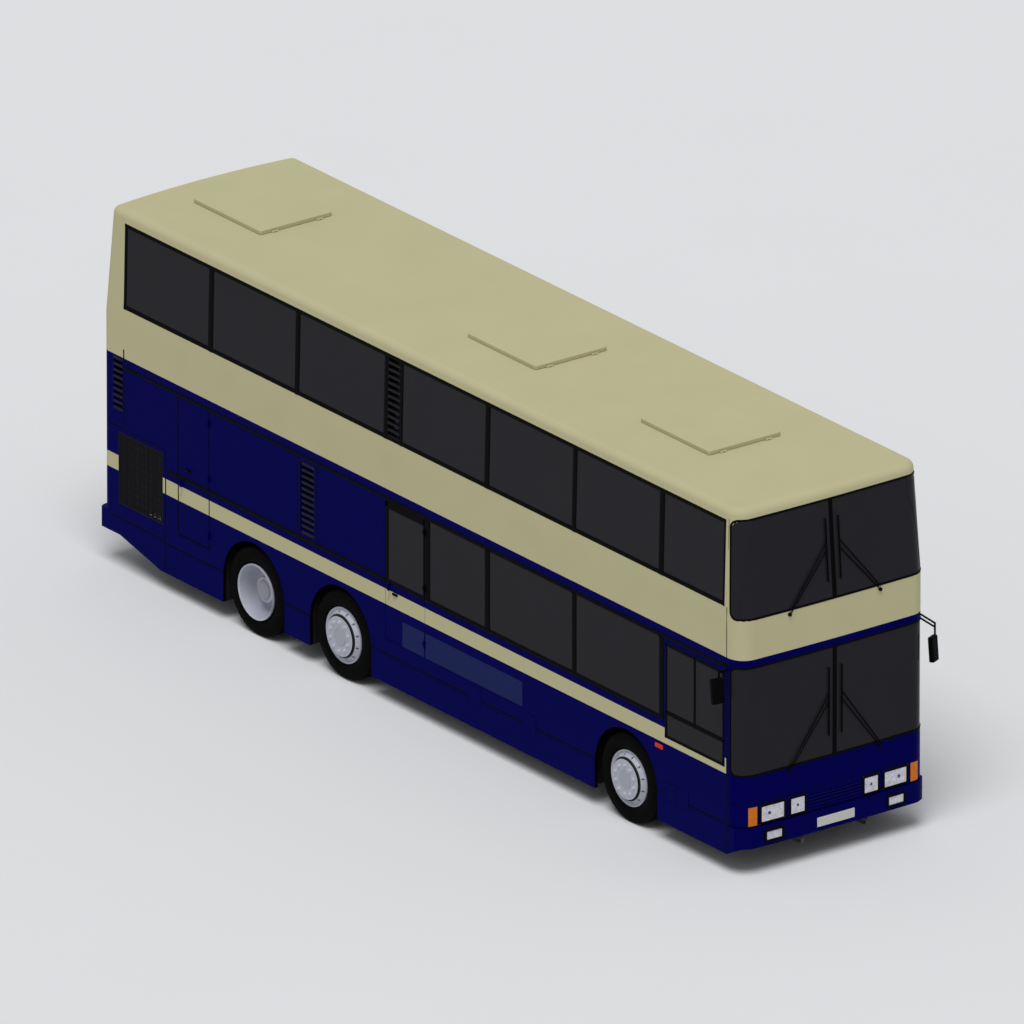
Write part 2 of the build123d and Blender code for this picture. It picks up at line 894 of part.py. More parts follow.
with BuildPart() as rear_upper_panel:
    slice_of(skin(0, wall, "rear"), (upper_rear_seam_y, rear_y + reach), (waist_z, cant_z))
    with BuildSketch(rear_plane):
        window(rear_window_x, rear_window_z, screen_radius)
    extrude(amount=rear_cap_length + reach * 3, mode=Mode.SUBTRACT)
save(rear_upper_panel, "rear_upper_panel")

with BuildPart() as front_bumper:
    slice_of(skin(-front_bumper_proud, wall, "front"), front_y_range, (skirt_clearance, bumper_top_z))
    block((-side_x, side_x), front_y_range, (0, bumper_top_z), Mode.INTERSECT)
    with BuildSketch(side_plane(-1)):
        Polygon(
            (front_seam_y, skirt_clearance),
            (front_seam_y - front_corner_radius, bumper_bottom_z),
            (front_y - reach, bumper_bottom_z),
            (front_y - reach, 0),
            (front_seam_y, 0),
            align=None,
        )
    extrude(amount=body_width + 2 * reach, mode=Mode.SUBTRACT)
    add(lamps.part, mode=Mode.SUBTRACT)

with BuildPart() as bumpers:
    slice_of(skin(-rear_bumper_proud, wall, "rear"), rear_y_range, (rear_bumper_bottom_z, rear_bumper_top_z))
    block((-side_x, side_x), rear_y_range, (0, rear_bumper_top_z), Mode.INTERSECT)
    add(front_bumper.part)
save(bumpers, "bumpers")

# ---------------------------------------------------------------- roof and hatches
hatch_places = [(behind_seam(start), behind_seam(start + hatch_length)) for start in hatch_starts]
hatch_names = ("front_hatch", "middle_hatch", "rear_hatch")


def hatch_hinges(hatch_y):
    """Hinge frames along the front edge of one roof hatch."""
    y = hatch_y[0] - hatch_hinge_gap
    z = overall_height + hinge_offset
    return [
        Plane(origin=(x, y, z), x_dir=(0, 1, 0), z_dir=(1, 0, 0)) for x in (-hatch_hinge_x, hatch_hinge_x)
    ]


with BuildPart() as roof_panel:
    add(skin(0, wall, "roof"))
    for hatch_y in hatch_places:
        half = hatch_width / 2 - hatch_rim
        block((-half, half), grown(hatch_y, -hatch_rim), (cant_z, overall_height + reach), Mode.SUBTRACT)
    for hatch_y in hatch_places:
        for frame in hatch_hinges(hatch_y):
            hinge_sleeves(frame)

# flat sheets between the rails and the domes, cut at the ends of each hatch opening
sheet_x = side_x - side_lean - roof_rail
sheet_y = (nose_y + front_lean + roof_dome, tail_y - rear_lean - roof_dome)
opening_ends = [end for hatch_y in hatch_places for end in grown(hatch_y, -hatch_rim)]
sheet_ends = [sheet_y[0]] + opening_ends + [sheet_y[1]]
roof_areas = [
    (wide_x, (front_y, sheet_y[0])),
    (wide_x, (sheet_y[1], rear_y)),
    ((wide_x[0], -sheet_x), sheet_y),
    ((sheet_x, wide_x[1]), sheet_y),
]
roof_areas += [((-sheet_x, sheet_x), ends) for ends in zip(sheet_ends, sheet_ends[1:])]
roof_pieces = []
for area_x, area_y in roof_areas:
    with BuildPart() as roof_piece:
        add(roof_panel)
        block(area_x, area_y, (cant_z, overall_height + reach), Mode.INTERSECT)
    roof_pieces.append(roof_piece.part)
save_set(roof_pieces, "roof_panel")

lid_foot_z = overall_height + skin_gap
for name, hatch_y in zip(hatch_names, hatch_places):
    with BuildPart() as hatch:
        block((-hatch_width / 2, hatch_width / 2), hatch_y, (lid_foot_z, lid_foot_z + hatch_height))
        fillet(hatch.edges().filter_by(Axis.Z), hatch_corner)
        fillet(hatch.edges().group_by(Axis.Z)[-1], hatch_edge)
        for frame in hatch_hinges(hatch_y):
            hinge_pin_and_lug(frame, low=skin_gap + hinge_bite - hinge_offset)
    save(hatch, name)

# ---------------------------------------------------------------- wheel boxes
axle_boxes = {
    # name: (axle Y, half length, inner X)
    "front": (front_axle_y, front_box_half, front_box_x),
    "middle": (middle_axle_y, rear_box_half, middle_box_x),
    "rear": (rear_axle_y, rear_box_half, rear_box_x),
}


def box_form(side, axle_y, half_length, inner, margin=0.0, mode=Mode.ADD):
    """Solid outer form of one wheel box, or with a margin its hollow."""
    rise = box_top_z - margin - skirt_clearance
    with BuildSketch(Plane.YZ.offset(side * (inner + margin))) as outline:
        with Locations((axle_y, skirt_clearance)):
            Rectangle(2 * (half_length - margin), rise - box_corner, align=(Align.CENTER, Align.MIN))
            Rectangle(2 * (half_length - margin - box_corner), rise, align=(Align.CENTER, Align.MIN))
        corner_y = half_length - margin - box_corner
        corner_z = box_top_z - margin - box_corner
        with Locations((axle_y - corner_y, corner_z), (axle_y + corner_y, corner_z)):
            Circle(box_corner)
    extrude(outline.sketch, amount=side * (inner_x - inner - margin), mode=mode)


box_forms = {}
for name, (axle_y, half_length, inner) in axle_boxes.items():
    with BuildPart() as form:
        for side in hands:
            box_form(side, axle_y, half_length, inner)
    box_forms[name] = form.part

with BuildPart() as wheel_boxes:
    for name, (axle_y, half_length, inner) in axle_boxes.items():
        add(box_forms[name])
        for side in hands:
            box_form(side, axle_y, half_length, inner, margin=liner_sheet, mode=Mode.SUBTRACT)
        slot_x = (-inner - liner_sheet, inner + liner_sheet)
        block(slot_x, grown((axle_y, axle_y), axle_slot), (skirt_clearance, axle_slot_z), Mode.SUBTRACT)
save(wheel_boxes, "wheel_boxes")

# ---------------------------------------------------------------- floors and inner walls
saloon_end_y = behind_seam(saloon_length)
floor_top_z = floor_z + floor_thickness
hold_top_z = hold_floor_z + floor_thickness
engine_wall_y = behind_seam(engine_bay_start)
inside_x = (-side_x, side_x)
stair_top_y = behind_seam(stair_start - stair_steps * stair_going)
well_y = (stair_top_y, behind_seam(stair_start) - stair_head_room)
stair_x = (-inner_x + stair_gap, -inner_x + stair_gap + stair_width)


def floor_plate(y, z):
    """Plate from wall to wall between two Y and two Z levels."""
    extrude(plan_at(z[0], wall), amount=z[1] - z[0])
    block(inside_x, y, z, Mode.INTERSECT)


with BuildPart() as saloon_floor:
    floor_plate((front_y, saloon_end_y), (floor_z, floor_top_z))
    add(box_forms["front"], mode=Mode.SUBTRACT)
    block((step_well_x, side_x), entrance_y, (floor_z, floor_top_z), Mode.SUBTRACT)

with BuildPart() as hold_floor:
    floor_plate((saloon_end_y, engine_wall_y), (hold_floor_z, hold_top_z))
    for name in ("middle", "rear"):
        add(box_forms[name], mode=Mode.SUBTRACT)

with BuildPart() as lower_floors:
    floor_plate((engine_wall_y, rear_y), (engine_deck_z - bulkhead, engine_deck_z))
    add(saloon_floor.part)
    add(hold_floor.part)
save(lower_floors, "lower_floors")

with BuildPart() as upper_floor:
    floor_plate((front_y, rear_y), (upper_floor_z, upper_floor_z + upper_floor_thickness))
    block((-side_x, stair_x[1]), well_y, (upper_floor_z, waist_z), Mode.SUBTRACT)
save(upper_floor, "upper_floor")

cab_wall_y = behind_seam(cab_partition_start)
with BuildPart() as bulkheads:
    block((-inner_x, inner_x), (saloon_end_y - bulkhead, saloon_end_y), (floor_top_z, upper_floor_z))
    block((-inner_x, inner_x), (engine_wall_y - bulkhead, engine_wall_y), (hold_top_z, upper_floor_z))
    block((-inner_x, -inner_x + cab_width), (cab_wall_y, cab_wall_y + bulkhead), (floor_top_z, upper_floor_z))
save(bulkheads, "bulkheads")

# ---------------------------------------------------------------- stairs and cab
stair_rise = (upper_floor_z + upper_floor_thickness - floor_top_z) / (stair_steps + 1)
with BuildPart() as staircase:
    for n in range(stair_steps):
        y1 = behind_seam(stair_start - n * stair_going)
        top = floor_top_z + (n + 1) * stair_rise
        block(stair_x, (y1 - stair_going - tread, y1), (top - tread, top))
        block(stair_x, (y1 - tread, y1), (top - stair_rise, top))
    top = floor_top_z + (stair_steps + 1) * stair_rise
    block(stair_x, (stair_top_y - tread, stair_top_y), (top - stair_rise, upper_floor_z))

with BuildPart() as stairs:
    block((step_well_x, inner_x), entrance_y, (step_foot_z, floor_z))
    well_x = (step_well_x + step_sheet, inner_x)
    block(well_x, grown(entrance_y, -step_sheet), (step_foot_z + step_sheet, floor_z), Mode.SUBTRACT)
    middle_x = (step_well_x, (step_well_x + inner_x) / 2)
    block(middle_x, entrance_y, (step_foot_z, (step_foot_z + floor_top_z) / 2))
    add(staircase.part)
save(stairs, "stairs")

cab_front_y = nose_y + wall
with BuildPart() as dashboard:
    floor_plate((front_y, cab_front_y + dash_depth), (floor_top_z, dash_top_z))
    block((-side_x, dash_end_x), (front_y, 0), (floor_top_z, dash_top_z), Mode.INTERSECT)
    fillet(dashboard.edges().filter_by(Axis.X).group_by(Axis.Z)[-1].sort_by(Axis.Y)[-1:], dash_edge)
save(dashboard, "dashboard")

column = Plane(
    origin=(-driver_x, cab_front_y + dash_depth + column_reach, steering_z), z_dir=(0, 1, column_rake)
)
with BuildPart() as steering_wheel:
    with Locations(column):
        Torus(steering_radius, steering_rim)
        Cylinder(steering_hub, 2 * steering_rim)
        Cylinder(column_radius, column_length, align=(Align.CENTER, Align.CENTER, Align.MAX))
    with BuildSketch(column):
        with PolarLocations(0, 3):
            Rectangle(steering_radius, steering_rim, align=(Align.MIN, Align.CENTER))
    extrude(amount=steering_rim / 2, both=True)
    add(dashboard.part, mode=Mode.SUBTRACT)
save(steering_wheel, "steering_wheel")


def seat(x, y, foot_z, width, facing=-1):
    """Seat on a plinth, with its front at y; the back rises behind it."""
    back_y = y - facing * bench_depth
    low, high = sorted((y, back_y))
    half = width / 2
    cushion_z = foot_z + bench_height - cushion_thickness
    block((x - half, x + half), (low, high), (cushion_z, foot_z + bench_height))
    ends = sorted((back_y, back_y - facing * back_thickness))
    block((x - half, x + half), ends, (cushion_z, foot_z + bench_height + back_height))
    block((x - half / 2, x + half / 2), (low + leg, high), (foot_z, cushion_z))


seat_x = inner_x - seat_wall_gap - bench_width / 2
upper_top_z = upper_floor_z + upper_floor_thickness
with BuildPart() as upper_seats:
    for n in range(upper_rows):
        y = behind_seam(upper_seats_start + n * seat_pitch)
        seat(seat_x, y, upper_top_z, bench_width)
        if y + bench_depth + back_thickness < well_y[0] or y > well_y[1]:
            seat(-seat_x, y, upper_top_z, bench_width)
save(upper_seats, "upper_seats")

with BuildPart() as lower_seats:
    seat(-driver_x, behind_seam(driver_start), floor_top_z, driver_seat_width)
    for n in range(lower_rows):
        y = behind_seam(lower_seats_start + n * seat_pitch)
        seat(seat_x, y, floor_top_z, bench_width)
        if y > behind_seam(stair_start):
            seat(-seat_x, y, floor_top_z, bench_width)
save(lower_seats, "lower_seats")

# ---------------------------------------------------------------- chassis
front_rail_y = (front_seam_y, saloon_end_y + rail_overlap)
rear_rail_y = (saloon_end_y, rear_seam_y - wall)
rail_x = (rail_half_spacing - rail_width / 2, rail_half_spacing + rail_width / 2)


def channel(side, y, z):
    """Channel rail along the vehicle, open towards the middle."""
    outer = sorted((side * rail_x[0], side * rail_x[1]))
    hollow = sorted((side * rail_x[0], side * (rail_x[1] - rail_sheet)))
    with BuildPart() as rail:
        block(outer, y, z)
        block(hollow, y, (z[0] + rail_sheet, z[1] - rail_sheet), Mode.SUBTRACT)
    return rail.part


tow_outer = tow_eye_bore + tow_eye_wall
tow_front = (front_y + tow_inset, bumper_bottom_z - tow_outer - tow_gap)
tow_rear = (rear_y - tow_inset, rear_bumper_bottom_z - tow_outer - tow_gap)
rail_front_z = (floor_z - rail_depth, floor_z)
rail_rear_z = (hold_floor_z - rear_rail_depth, hold_floor_z)


def tow_eye(side, place, root_y, rail_bottom_z):
    """Flat tow eye that hangs under a bumper from the end of a rail."""
    y, z = place
    inner = root_y + tow_hanger * (1 if root_y > y else -1)
    with BuildSketch(Plane.YZ.offset(side * rail_half_spacing - tow_eye_sheet / 2)) as outline:
        with Locations((y, z)):
            Circle(tow_outer)
        window(sorted((y, root_y)), (z - tow_outer, z + tow_outer))
        window(sorted((root_y, inner)), (z - tow_outer, rail_bottom_z))
        with Locations((y, z)):
            Circle(tow_eye_bore, mode=Mode.SUBTRACT)
    with BuildPart() as eye:
        extrude(outline.sketch, amount=tow_eye_sheet)
    return eye.part


def bar(x, y, z):
    """One bolted bar of the chassis between two corners."""
    with BuildPart() as piece:
        block(x, y, z)
    return piece.part


engine_y = (engine_wall_y + cross_member, engine_wall_y + cross_member + engine_length)
web_x = rail_x[1] - rail_sheet
members = [(behind_seam(distance), rail_front_z) for distance in front_members]
rear_members = (
    middle_axle_y - bellows_reach,
    (middle_axle_y + rear_axle_y) / 2,
    rear_axle_y + bellows_reach,
    rear_rail_y[1] - cross_member,
)
members += [(y, rail_rear_z) for y in rear_members]
chassis = [bar((-web_x, web_x), (y, y + cross_member), grown(z, -rail_sheet)) for y, z in members]
pad_y = (middle_axle_y + rear_axle_y) / 2
for side in hands:
    whole_x = sorted((side * rail_x[0], side * rail_x[1]))
    outer_x = sorted((side * rail_x[1], side * inner_x))
    engine_pad_x = sorted((side * engine_width / 2, side * web_x))
    chassis.append(channel(side, front_rail_y, rail_front_z))
    chassis.append(channel(side, rear_rail_y, rail_rear_z))
    chassis.append(bar(whole_x, (saloon_end_y, saloon_end_y + rail_overlap), (rail_front_z[1], rail_rear_z[0])))
    for distance in outriggers:
        y = behind_seam(distance)
        chassis.append(bar(outer_x, (y, y + cross_member), (floor_z - outrigger_depth, floor_z)))
    for y in (mesh_y[0], mesh_y[1] - cross_member):
        shelf_z = (rail_rear_z[0] - outrigger_depth / 2, rail_rear_z[0] + outrigger_depth / 2)
        chassis.append(bar(outer_x, (y, y + cross_member), shelf_z))
    for y in (engine_y[0] + cross_member, engine_y[1] - 2 * cross_member):
        foot_z = rail_rear_z[0] + rail_sheet
        chassis.append(bar(engine_pad_x, (y, y + cross_member), (foot_z, foot_z + cross_member)))
    pad_z = (rail_rear_z[0] - jack_pad_sheet, rail_rear_z[0])
    chassis.append(bar(whole_x, (pad_y - jack_pad / 2, pad_y + jack_pad / 2), pad_z))
    chassis.append(tow_eye(side, tow_front, front_rail_y[0] + cross_member, rail_front_z[0]))
    chassis.append(tow_eye(side, tow_rear, rear_rail_y[1] - cross_member, rail_rear_z[0]))
save_set(chassis, "chassis_frame")

# ---------------------------------------------------------------- axles and suspension
with BuildPart() as axles:
    beam_z = (tyre_radius - beam_drop - beam_depth / 2, tyre_radius - beam_drop + beam_depth / 2)
    half_y = (front_axle_y - axle_beam / 2, front_axle_y + axle_beam / 2)
    block((-kingpin_x, kingpin_x), half_y, beam_z)
    for side in hands:
        block(
            sorted((side * (kingpin_x - boss_radius - beam_depth / 2), side * kingpin_x)),
            half_y,
            (beam_z[0], tyre_radius + boss_height / 2),
        )
        with Locations((side * kingpin_x, front_axle_y, tyre_radius)):
            Cylinder(boss_radius, boss_height)
        # room below the boss for the lower arm of the knuckle
        with Locations((side * kingpin_x, front_axle_y, tyre_radius - boss_height / 2)):
            Cylinder(
                knuckle_radius + knuckle_room,
                boss_height,
                align=(Align.CENTER, Align.CENTER, Align.MAX),
                mode=Mode.SUBTRACT,
            )
        with Locations((side * kingpin_x, front_axle_y, tyre_radius)):
            Cylinder(kingpin_radius + pin_play, boss_height * 3, mode=Mode.SUBTRACT)
    for axle_y, radius, inner, stub_end in (
        (middle_axle_y, tube_radius, tyre_x - single_hub_depth - hub_stand, stub_overhang),
        (rear_axle_y, drive_tube_radius, drum_stand - hub_stand, rear_stub_end),
    ):
        with Locations(Location((0, axle_y, tyre_radius), (0, 90, 0))):
            Cylinder(radius, 2 * inner)
            Cylinder(stub_radius, 2 * (tyre_x + stub_end))
        for side in hands:
            x = side * rail_half_spacing
            pad_z = (tyre_radius, tyre_radius + radius + spring_pad)
            block((x - spring_width / 2, x + spring_width / 2), grown((axle_y, axle_y), spring_width / 2), pad_z)
    with Locations((0, rear_axle_y, tyre_radius)):
        Sphere(banjo_radius)
save(axles, "axles")

with BuildPart() as suspension:
    for side in hands:
        x = side * rail_half_spacing
        spring_x = (x - spring_width / 2, x + spring_width / 2)
        with BuildSketch(Plane.YZ.offset(x - spring_width / 2)):
            low_z = beam_z[1]
            high_z = rail_front_z[0] - spring_hanger - spring_thickness
            ends = [front_axle_y + end * spring_half_length for end in (-1, 1)]
            with BuildLine():
                ThreePointArc((ends[0], high_z), (front_axle_y, low_z), (ends[1], high_z))
                Line((ends[1], high_z), (ends[1], high_z + spring_thickness))
                ThreePointArc(
                    (ends[1], high_z + spring_thickness),
                    (front_axle_y, low_z + spring_thickness),
                    (ends[0], high_z + spring_thickness),
                )
                Line((ends[0], high_z + spring_thickness), (ends[0], high_z))
            make_face()
        extrude(amount=spring_width)
        for end_y in ends:
            hanger_y = (end_y - cross_member / 2, end_y + cross_member / 2)
            block(spring_x, hanger_y, (high_z + spring_thickness / 2, rail_front_z[0]))
        for axle_y, radius in ((middle_axle_y, tube_radius), (rear_axle_y, drive_tube_radius)):
            foot_z = tyre_radius + radius + spring_pad
            height = rail_rear_z[0] - foot_z
            with Locations((x, axle_y, foot_z)):
                Cylinder(bellows_radius, height, align=(Align.CENTER, Align.CENTER, Align.MIN))
save(suspension, "suspension")

for side, hand in hands.items():
    with BuildPart() as knuckle:
        centre = (side * kingpin_x, front_axle_y, tyre_radius)
        arm_step = boss_height / 2 + hinge_end_play + knuckle_arm / 2
        with Locations(centre):
            Cylinder(kingpin_radius, 2 * arm_step + knuckle_arm)
            with Locations((0, 0, arm_step), (0, 0, -arm_step)):
                Cylinder(knuckle_radius, knuckle_arm)
        web_x = sorted((centre[0] + side * (boss_radius + knuckle_room), centre[0] + side * web_reach))
        web_half = knuckle_radius * 0.8
        block(web_x, grown((front_axle_y, front_axle_y), web_half), grown((tyre_radius,) * 2, arm_step + knuckle_arm / 2))
        for end in (-1, 1):
            arm_z = tyre_radius + end * arm_step
            arm_x = sorted((centre[0], web_x[0 if side > 0 else 1]))
            block(arm_x, grown((front_axle_y, front_axle_y), web_half), grown((arm_z, arm_z), knuckle_arm / 2))
        stub_x = sorted((centre[0] + side * web_reach, side * (tyre_x + stub_overhang)))
        with Locations(Location(((stub_x[0] + stub_x[1]) / 2, front_axle_y, tyre_radius), (0, 90, 0))):
            Cylinder(stub_radius, stub_x[1] - stub_x[0])
    save(knuckle, f"{hand}_knuckle")


# ---------------------------------------------------------------- wheels
rim_half = tyre_width / 2 - bead_tuck  # outside of the rim lips
bore_radius = stub_radius + pin_play


def wheel_plane(side, x, axle_y):
    """Plane of a wheel's profile: local X is the radius, local Y the way out along the axle."""
    return Plane(origin=(side * x, axle_y, tyre_radius), x_dir=(0, 1, 0), z_dir=(0, 0, -side))


def wheel_axis(axle_y):
    """Line along an axle."""
    return Axis((0, axle_y, tyre_radius), (1, 0, 0))


def tyre(side, x, axle_y):
    """Tyre with bulging sidewalls and rounded shoulders, held between the lips of its rim."""
    half = tyre_width / 2
    bead = rim_half - rim_sheet
    with BuildPart() as form:
        with BuildSketch(wheel_plane(side, x, axle_y)):
            with BuildLine():
                outline = Polyline(
                    (bead_radius, -bead), (bead_radius, bead), (bead_radius + bead_tuck + rim_sheet, bead)
                )
                bulge = ThreePointArc(outline @ 1, (bulge_radius, half), (tyre_radius - shoulder, half - sidewall_tuck))
                crown = Polyline(
                    bulge @ 1,
                    (tyre_radius, half - shoulder),
                    (tyre_radius, shoulder - half),
                    (tyre_radius - shoulder, sidewall_tuck - half),
                )
                back = ThreePointArc(crown @ 1, (bulge_radius, -half), (bead_radius + bead_tuck + rim_sheet, -bead))
                Line(back @ 1, outline @ 0)
            make_face()
        revolve(axis=wheel_axis(axle_y))
    return form.part


def rim(side, x, axle_y, root, disc, hubs):
    """Rim whose cone runs from its root on the barrel in to a flat disc, with its hub.

    root and disc are distances out from the middle of the tyre. hubs lists the
    (radius, (low, high), bore) of each turned step of the hub.
    """
    half_sheet = rim_sheet / 2
    with BuildPart() as form:
        with BuildSketch(wheel_plane(side, x, axle_y)):
            window((bead_radius - rim_sheet, bead_radius), (-rim_half, rim_half))
            window((bead_radius - rim_sheet, rim_lip_radius), (rim_half - rim_sheet, rim_half))
            window((bead_radius - rim_sheet, rim_lip_radius), (-rim_half, rim_sheet - rim_half))
            Polygon(
                (bead_radius - half_sheet, root + rim_sheet),
                (cone_radius, disc + half_sheet),
                (cone_radius, disc - half_sheet),
                (bead_radius - half_sheet, root - rim_sheet),
                align=None,
            )
            window((bore_radius, cone_radius), (disc - half_sheet, disc + half_sheet))
            for radius, span, bore in hubs:
                window((bore, radius), span)
        revolve(axis=wheel_axis(axle_y))
    return form.part


single_hubs = [
    (drum_radius, (-single_hub_depth, single_disc), bore_radius),
    (hub_radius, (single_disc, single_disc + hub_step), bore_radius),
    (cap_radius, (single_disc + hub_step, single_disc + hub_step + cap_step), 0),
]
twin_disc = twin_spacing / 2 - rim_sheet / 2
twin_hub_inner = drum_stand - tyre_x
twin_hubs = [
    (drum_radius, (twin_hub_inner, -twin_disc), bore_radius),
    (hub_radius, (-twin_disc, twin_hub_outer), bore_radius),
    (cap_radius, (twin_hub_outer, twin_hub_outer + cap_step), 0),
]
for side, hand in hands.items():
    for place, axle_y in (("front", front_axle_y), ("middle", middle_axle_y)):
        with BuildPart() as single_tyre:
            add(tyre(side, tyre_x, axle_y))
        save(single_tyre, f"{place}_{hand}_tyre")
        with BuildPart() as single_rim:
            add(rim(side, tyre_x, axle_y, single_root, single_disc, single_hubs))
        save(single_rim, f"{place}_{hand}_rim")
    with BuildPart() as twin_tyres:
        add(tyre(side, tyre_x, rear_axle_y))
        add(tyre(side, twin_x, rear_axle_y))
    save(twin_tyres, f"rear_{hand}_tyres")
    with BuildPart() as twin_rims:
        add(rim(side, tyre_x, rear_axle_y, -twin_root, -twin_disc, twin_hubs))
        add(rim(side, twin_x, rear_axle_y, twin_root, twin_disc, []))
    save(twin_rims, f"rear_{hand}_rims")

# ---------------------------------------------------------------- engine, radiator and tank
with BuildPart() as engine:
    block((-engine_width / 2, engine_width / 2), engine_y, (engine_z0, engine_z0 + engine_height))
    fillet(engine.edges().filter_by(Axis.Y), engine_edge)
    radiator_x = (-inner_x + radiator_stand, -inner_x + radiator_stand + radiator_depth)
    radiator_foot_z = rail_rear_z[0] + outrigger_depth / 2
    block(radiator_x, mesh_y, (radiator_foot_z, mesh_z1))
save(engine, "engine")

with BuildPart() as fuel_tank:
    tank_y = (behind_seam(tank_start), behind_seam(tank_start + tank_length))
    block((tank_x0, tank_x0 + tank_width), tank_y, (floor_z - tank_height, floor_z))
    fillet(fuel_tank.edges().filter_by(Axis.Y).group_by(Axis.Z)[0], tank_edge)
save(fuel_tank, "fuel_tank")


# ---------------------------------------------------------------- mirrors and wipers
def rod(start, end, radius):
    """Round rod between two points."""
    start, end = Vector(*start), Vector(*end)
    with Locations(Plane(origin=start, z_dir=end - start)):
        Cylinder(radius, (end - start).length, align=(Align.CENTER, Align.CENTER, Align.MIN))


def mirror_head(x, y, z):
    """Mirror housing with rounded edges."""
    with BuildPart() as head:
        block(x, y, z)
        fillet(head.edges().filter_by(Axis.Y), mirror_corner)
        fillet(head.edges().group_by(Axis.Y)[0], mirror_edge)
    return head.part


with BuildPart() as mirrors:
    head_x = (side_x + mirror_gap, side_x + mirror_gap + mirror_width)
    middle_x = (head_x[0] + head_x[1]) / 2
    arm_y = front_seam_y + mirror_depth / 2
    add(mirror_head((-head_x[1], -head_x[0]), (arm_y - mirror_depth / 2, arm_y + mirror_depth / 2), right_mirror_z))
    arm_z = right_mirror_z[1] + 2 * mirror_arm
    rod((-side_x, arm_y, arm_z), (-middle_x, arm_y, arm_z), mirror_arm)
    rod((-middle_x, arm_y, arm_z + mirror_arm), (-middle_x, arm_y, right_mirror_z[1] - mirror_arm), mirror_arm)
    left_y = front_seam_y - left_mirror_reach
    add(mirror_head(head_x, (left_y - mirror_depth / 2, left_y + mirror_depth / 2), left_mirror_z))
    for step in (0, left_arm_step):
        root = (left_arm_root_x, left_y, left_arm_z - step)
        elbow = (middle_x, left_y, left_arm_z - step - left_arm_fall)
        rod(root, elbow, mirror_arm)
    rod((middle_x, left_y, left_arm_z - left_arm_fall), (middle_x, left_y, left_mirror_z[1] - mirror_arm), mirror_arm)
    add(blocks[0], mode=Mode.SUBTRACT)
save(mirrors, "mirrors")


def nose_at(x, z):
    """Y of the front skin at one X and height."""
    radius = (side_x**2 + front_bow**2) / (2 * front_bow)
    lean = front_lean * max(0.0, (z - lean_z) / (overall_height - lean_z))
    return nose_y + lean + radius - sqrt(radius**2 - x**2)


with BuildPart() as wipers:
    for foot_z, blade_z in ((upper_screen_z0, upper_blade_z), (lower_screen_z0, lower_blade_z)):
        pivot_z = foot_z - wiper_drop
        arm_z = (blade_z[0] + blade_z[1]) / 2
        for side in hands:
            pivot = (side * wiper_pivot_x, nose_at(wiper_pivot_x, pivot_z), pivot_z)
            clear = (pivot[0], pivot[1] - wiper_stand, pivot[2])
            rod((pivot[0], pivot[1] + wiper_boss, pivot[2]), (pivot[0], clear[1] - wiper_arm, pivot[2]), wiper_boss)
            for shift in (0, wiper_link):
                top = (side * wiper_blade_x, nose_at(wiper_blade_x, arm_z + shift) - wiper_stand, arm_z + shift)
                rod((clear[0], clear[1], clear[2] + shift / 2), top, wiper_arm)
            ends = [(side * wiper_blade_x, nose_at(wiper_blade_x, z) - wiper_stand, z) for z in blade_z]
            rod(ends[0], ends[1], wiper_blade)
    add(blocks[0], mode=Mode.SUBTRACT)
save(wipers, "wipers")
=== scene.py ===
"""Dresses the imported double-decker coach: paint, glazing, rubber, lamps, wheels, seats and stage.

Laid out as an add-on. The property groups hold the sizes and colours a user would change, each
operator makes one group of pieces, and main() runs them in order. All lengths are in metres in the
frame's own axes: the coach faces -Y, its kerb side is +X and +Z is up.
"""

import math

import bmesh
import bpy
from mathutils import Matrix, Vector


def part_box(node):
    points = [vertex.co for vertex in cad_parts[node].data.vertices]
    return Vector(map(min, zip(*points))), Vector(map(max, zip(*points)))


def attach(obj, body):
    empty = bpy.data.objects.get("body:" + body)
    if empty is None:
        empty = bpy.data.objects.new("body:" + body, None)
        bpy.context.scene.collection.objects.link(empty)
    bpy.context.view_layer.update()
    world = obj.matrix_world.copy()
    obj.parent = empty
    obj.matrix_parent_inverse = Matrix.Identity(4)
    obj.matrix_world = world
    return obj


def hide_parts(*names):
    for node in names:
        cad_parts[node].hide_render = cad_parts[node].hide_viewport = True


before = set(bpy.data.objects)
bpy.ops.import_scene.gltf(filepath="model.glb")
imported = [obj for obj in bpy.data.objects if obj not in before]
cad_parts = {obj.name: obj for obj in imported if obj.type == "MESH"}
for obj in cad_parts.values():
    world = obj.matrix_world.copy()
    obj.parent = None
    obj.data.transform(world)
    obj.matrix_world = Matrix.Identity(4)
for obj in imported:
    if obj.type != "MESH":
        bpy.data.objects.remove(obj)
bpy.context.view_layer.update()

bl_info = {
    "name": "Double-decker coach dressing",
    "version": (1, 0, 0),
    "blender": (4, 5, 0),
    "location": "3D Viewport > Sidebar > Coach",
    "description": "Paint, glazing, trim, wheels and seats for a three-axle double-decker coach",
    "category": "Object",
}

# ---------------------------------------------------------------- places on the coach
SIDE_X = 1.25
SEAM_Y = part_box("right_upper_side")[0].y  # joint between the front moulding and the sides
REAR_SEAM_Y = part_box("right_lower_side")[1].y
WAIST_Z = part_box("right_upper_side")[0].z  # cream above, blue below
LEAN_Z = 2.909  # the upper deck leans inwards from here
ROOF_Z = 4.145
SIDE_LEAN = 0.029
SKIRT_Z = 0.219
# bowed ends: tip, lean of the upper deck, bow across the width, corner radius, facing
FRONT = {"tip": -5.72, "lean": 0.101, "bow": 0.021, "corner": 0.2, "facing": -1}
REAR = {"tip": 5.685, "lean": -0.114, "bow": 0.075, "corner": 0.095, "facing": 1}
HANDS = {-1: "right", 1: "left"}

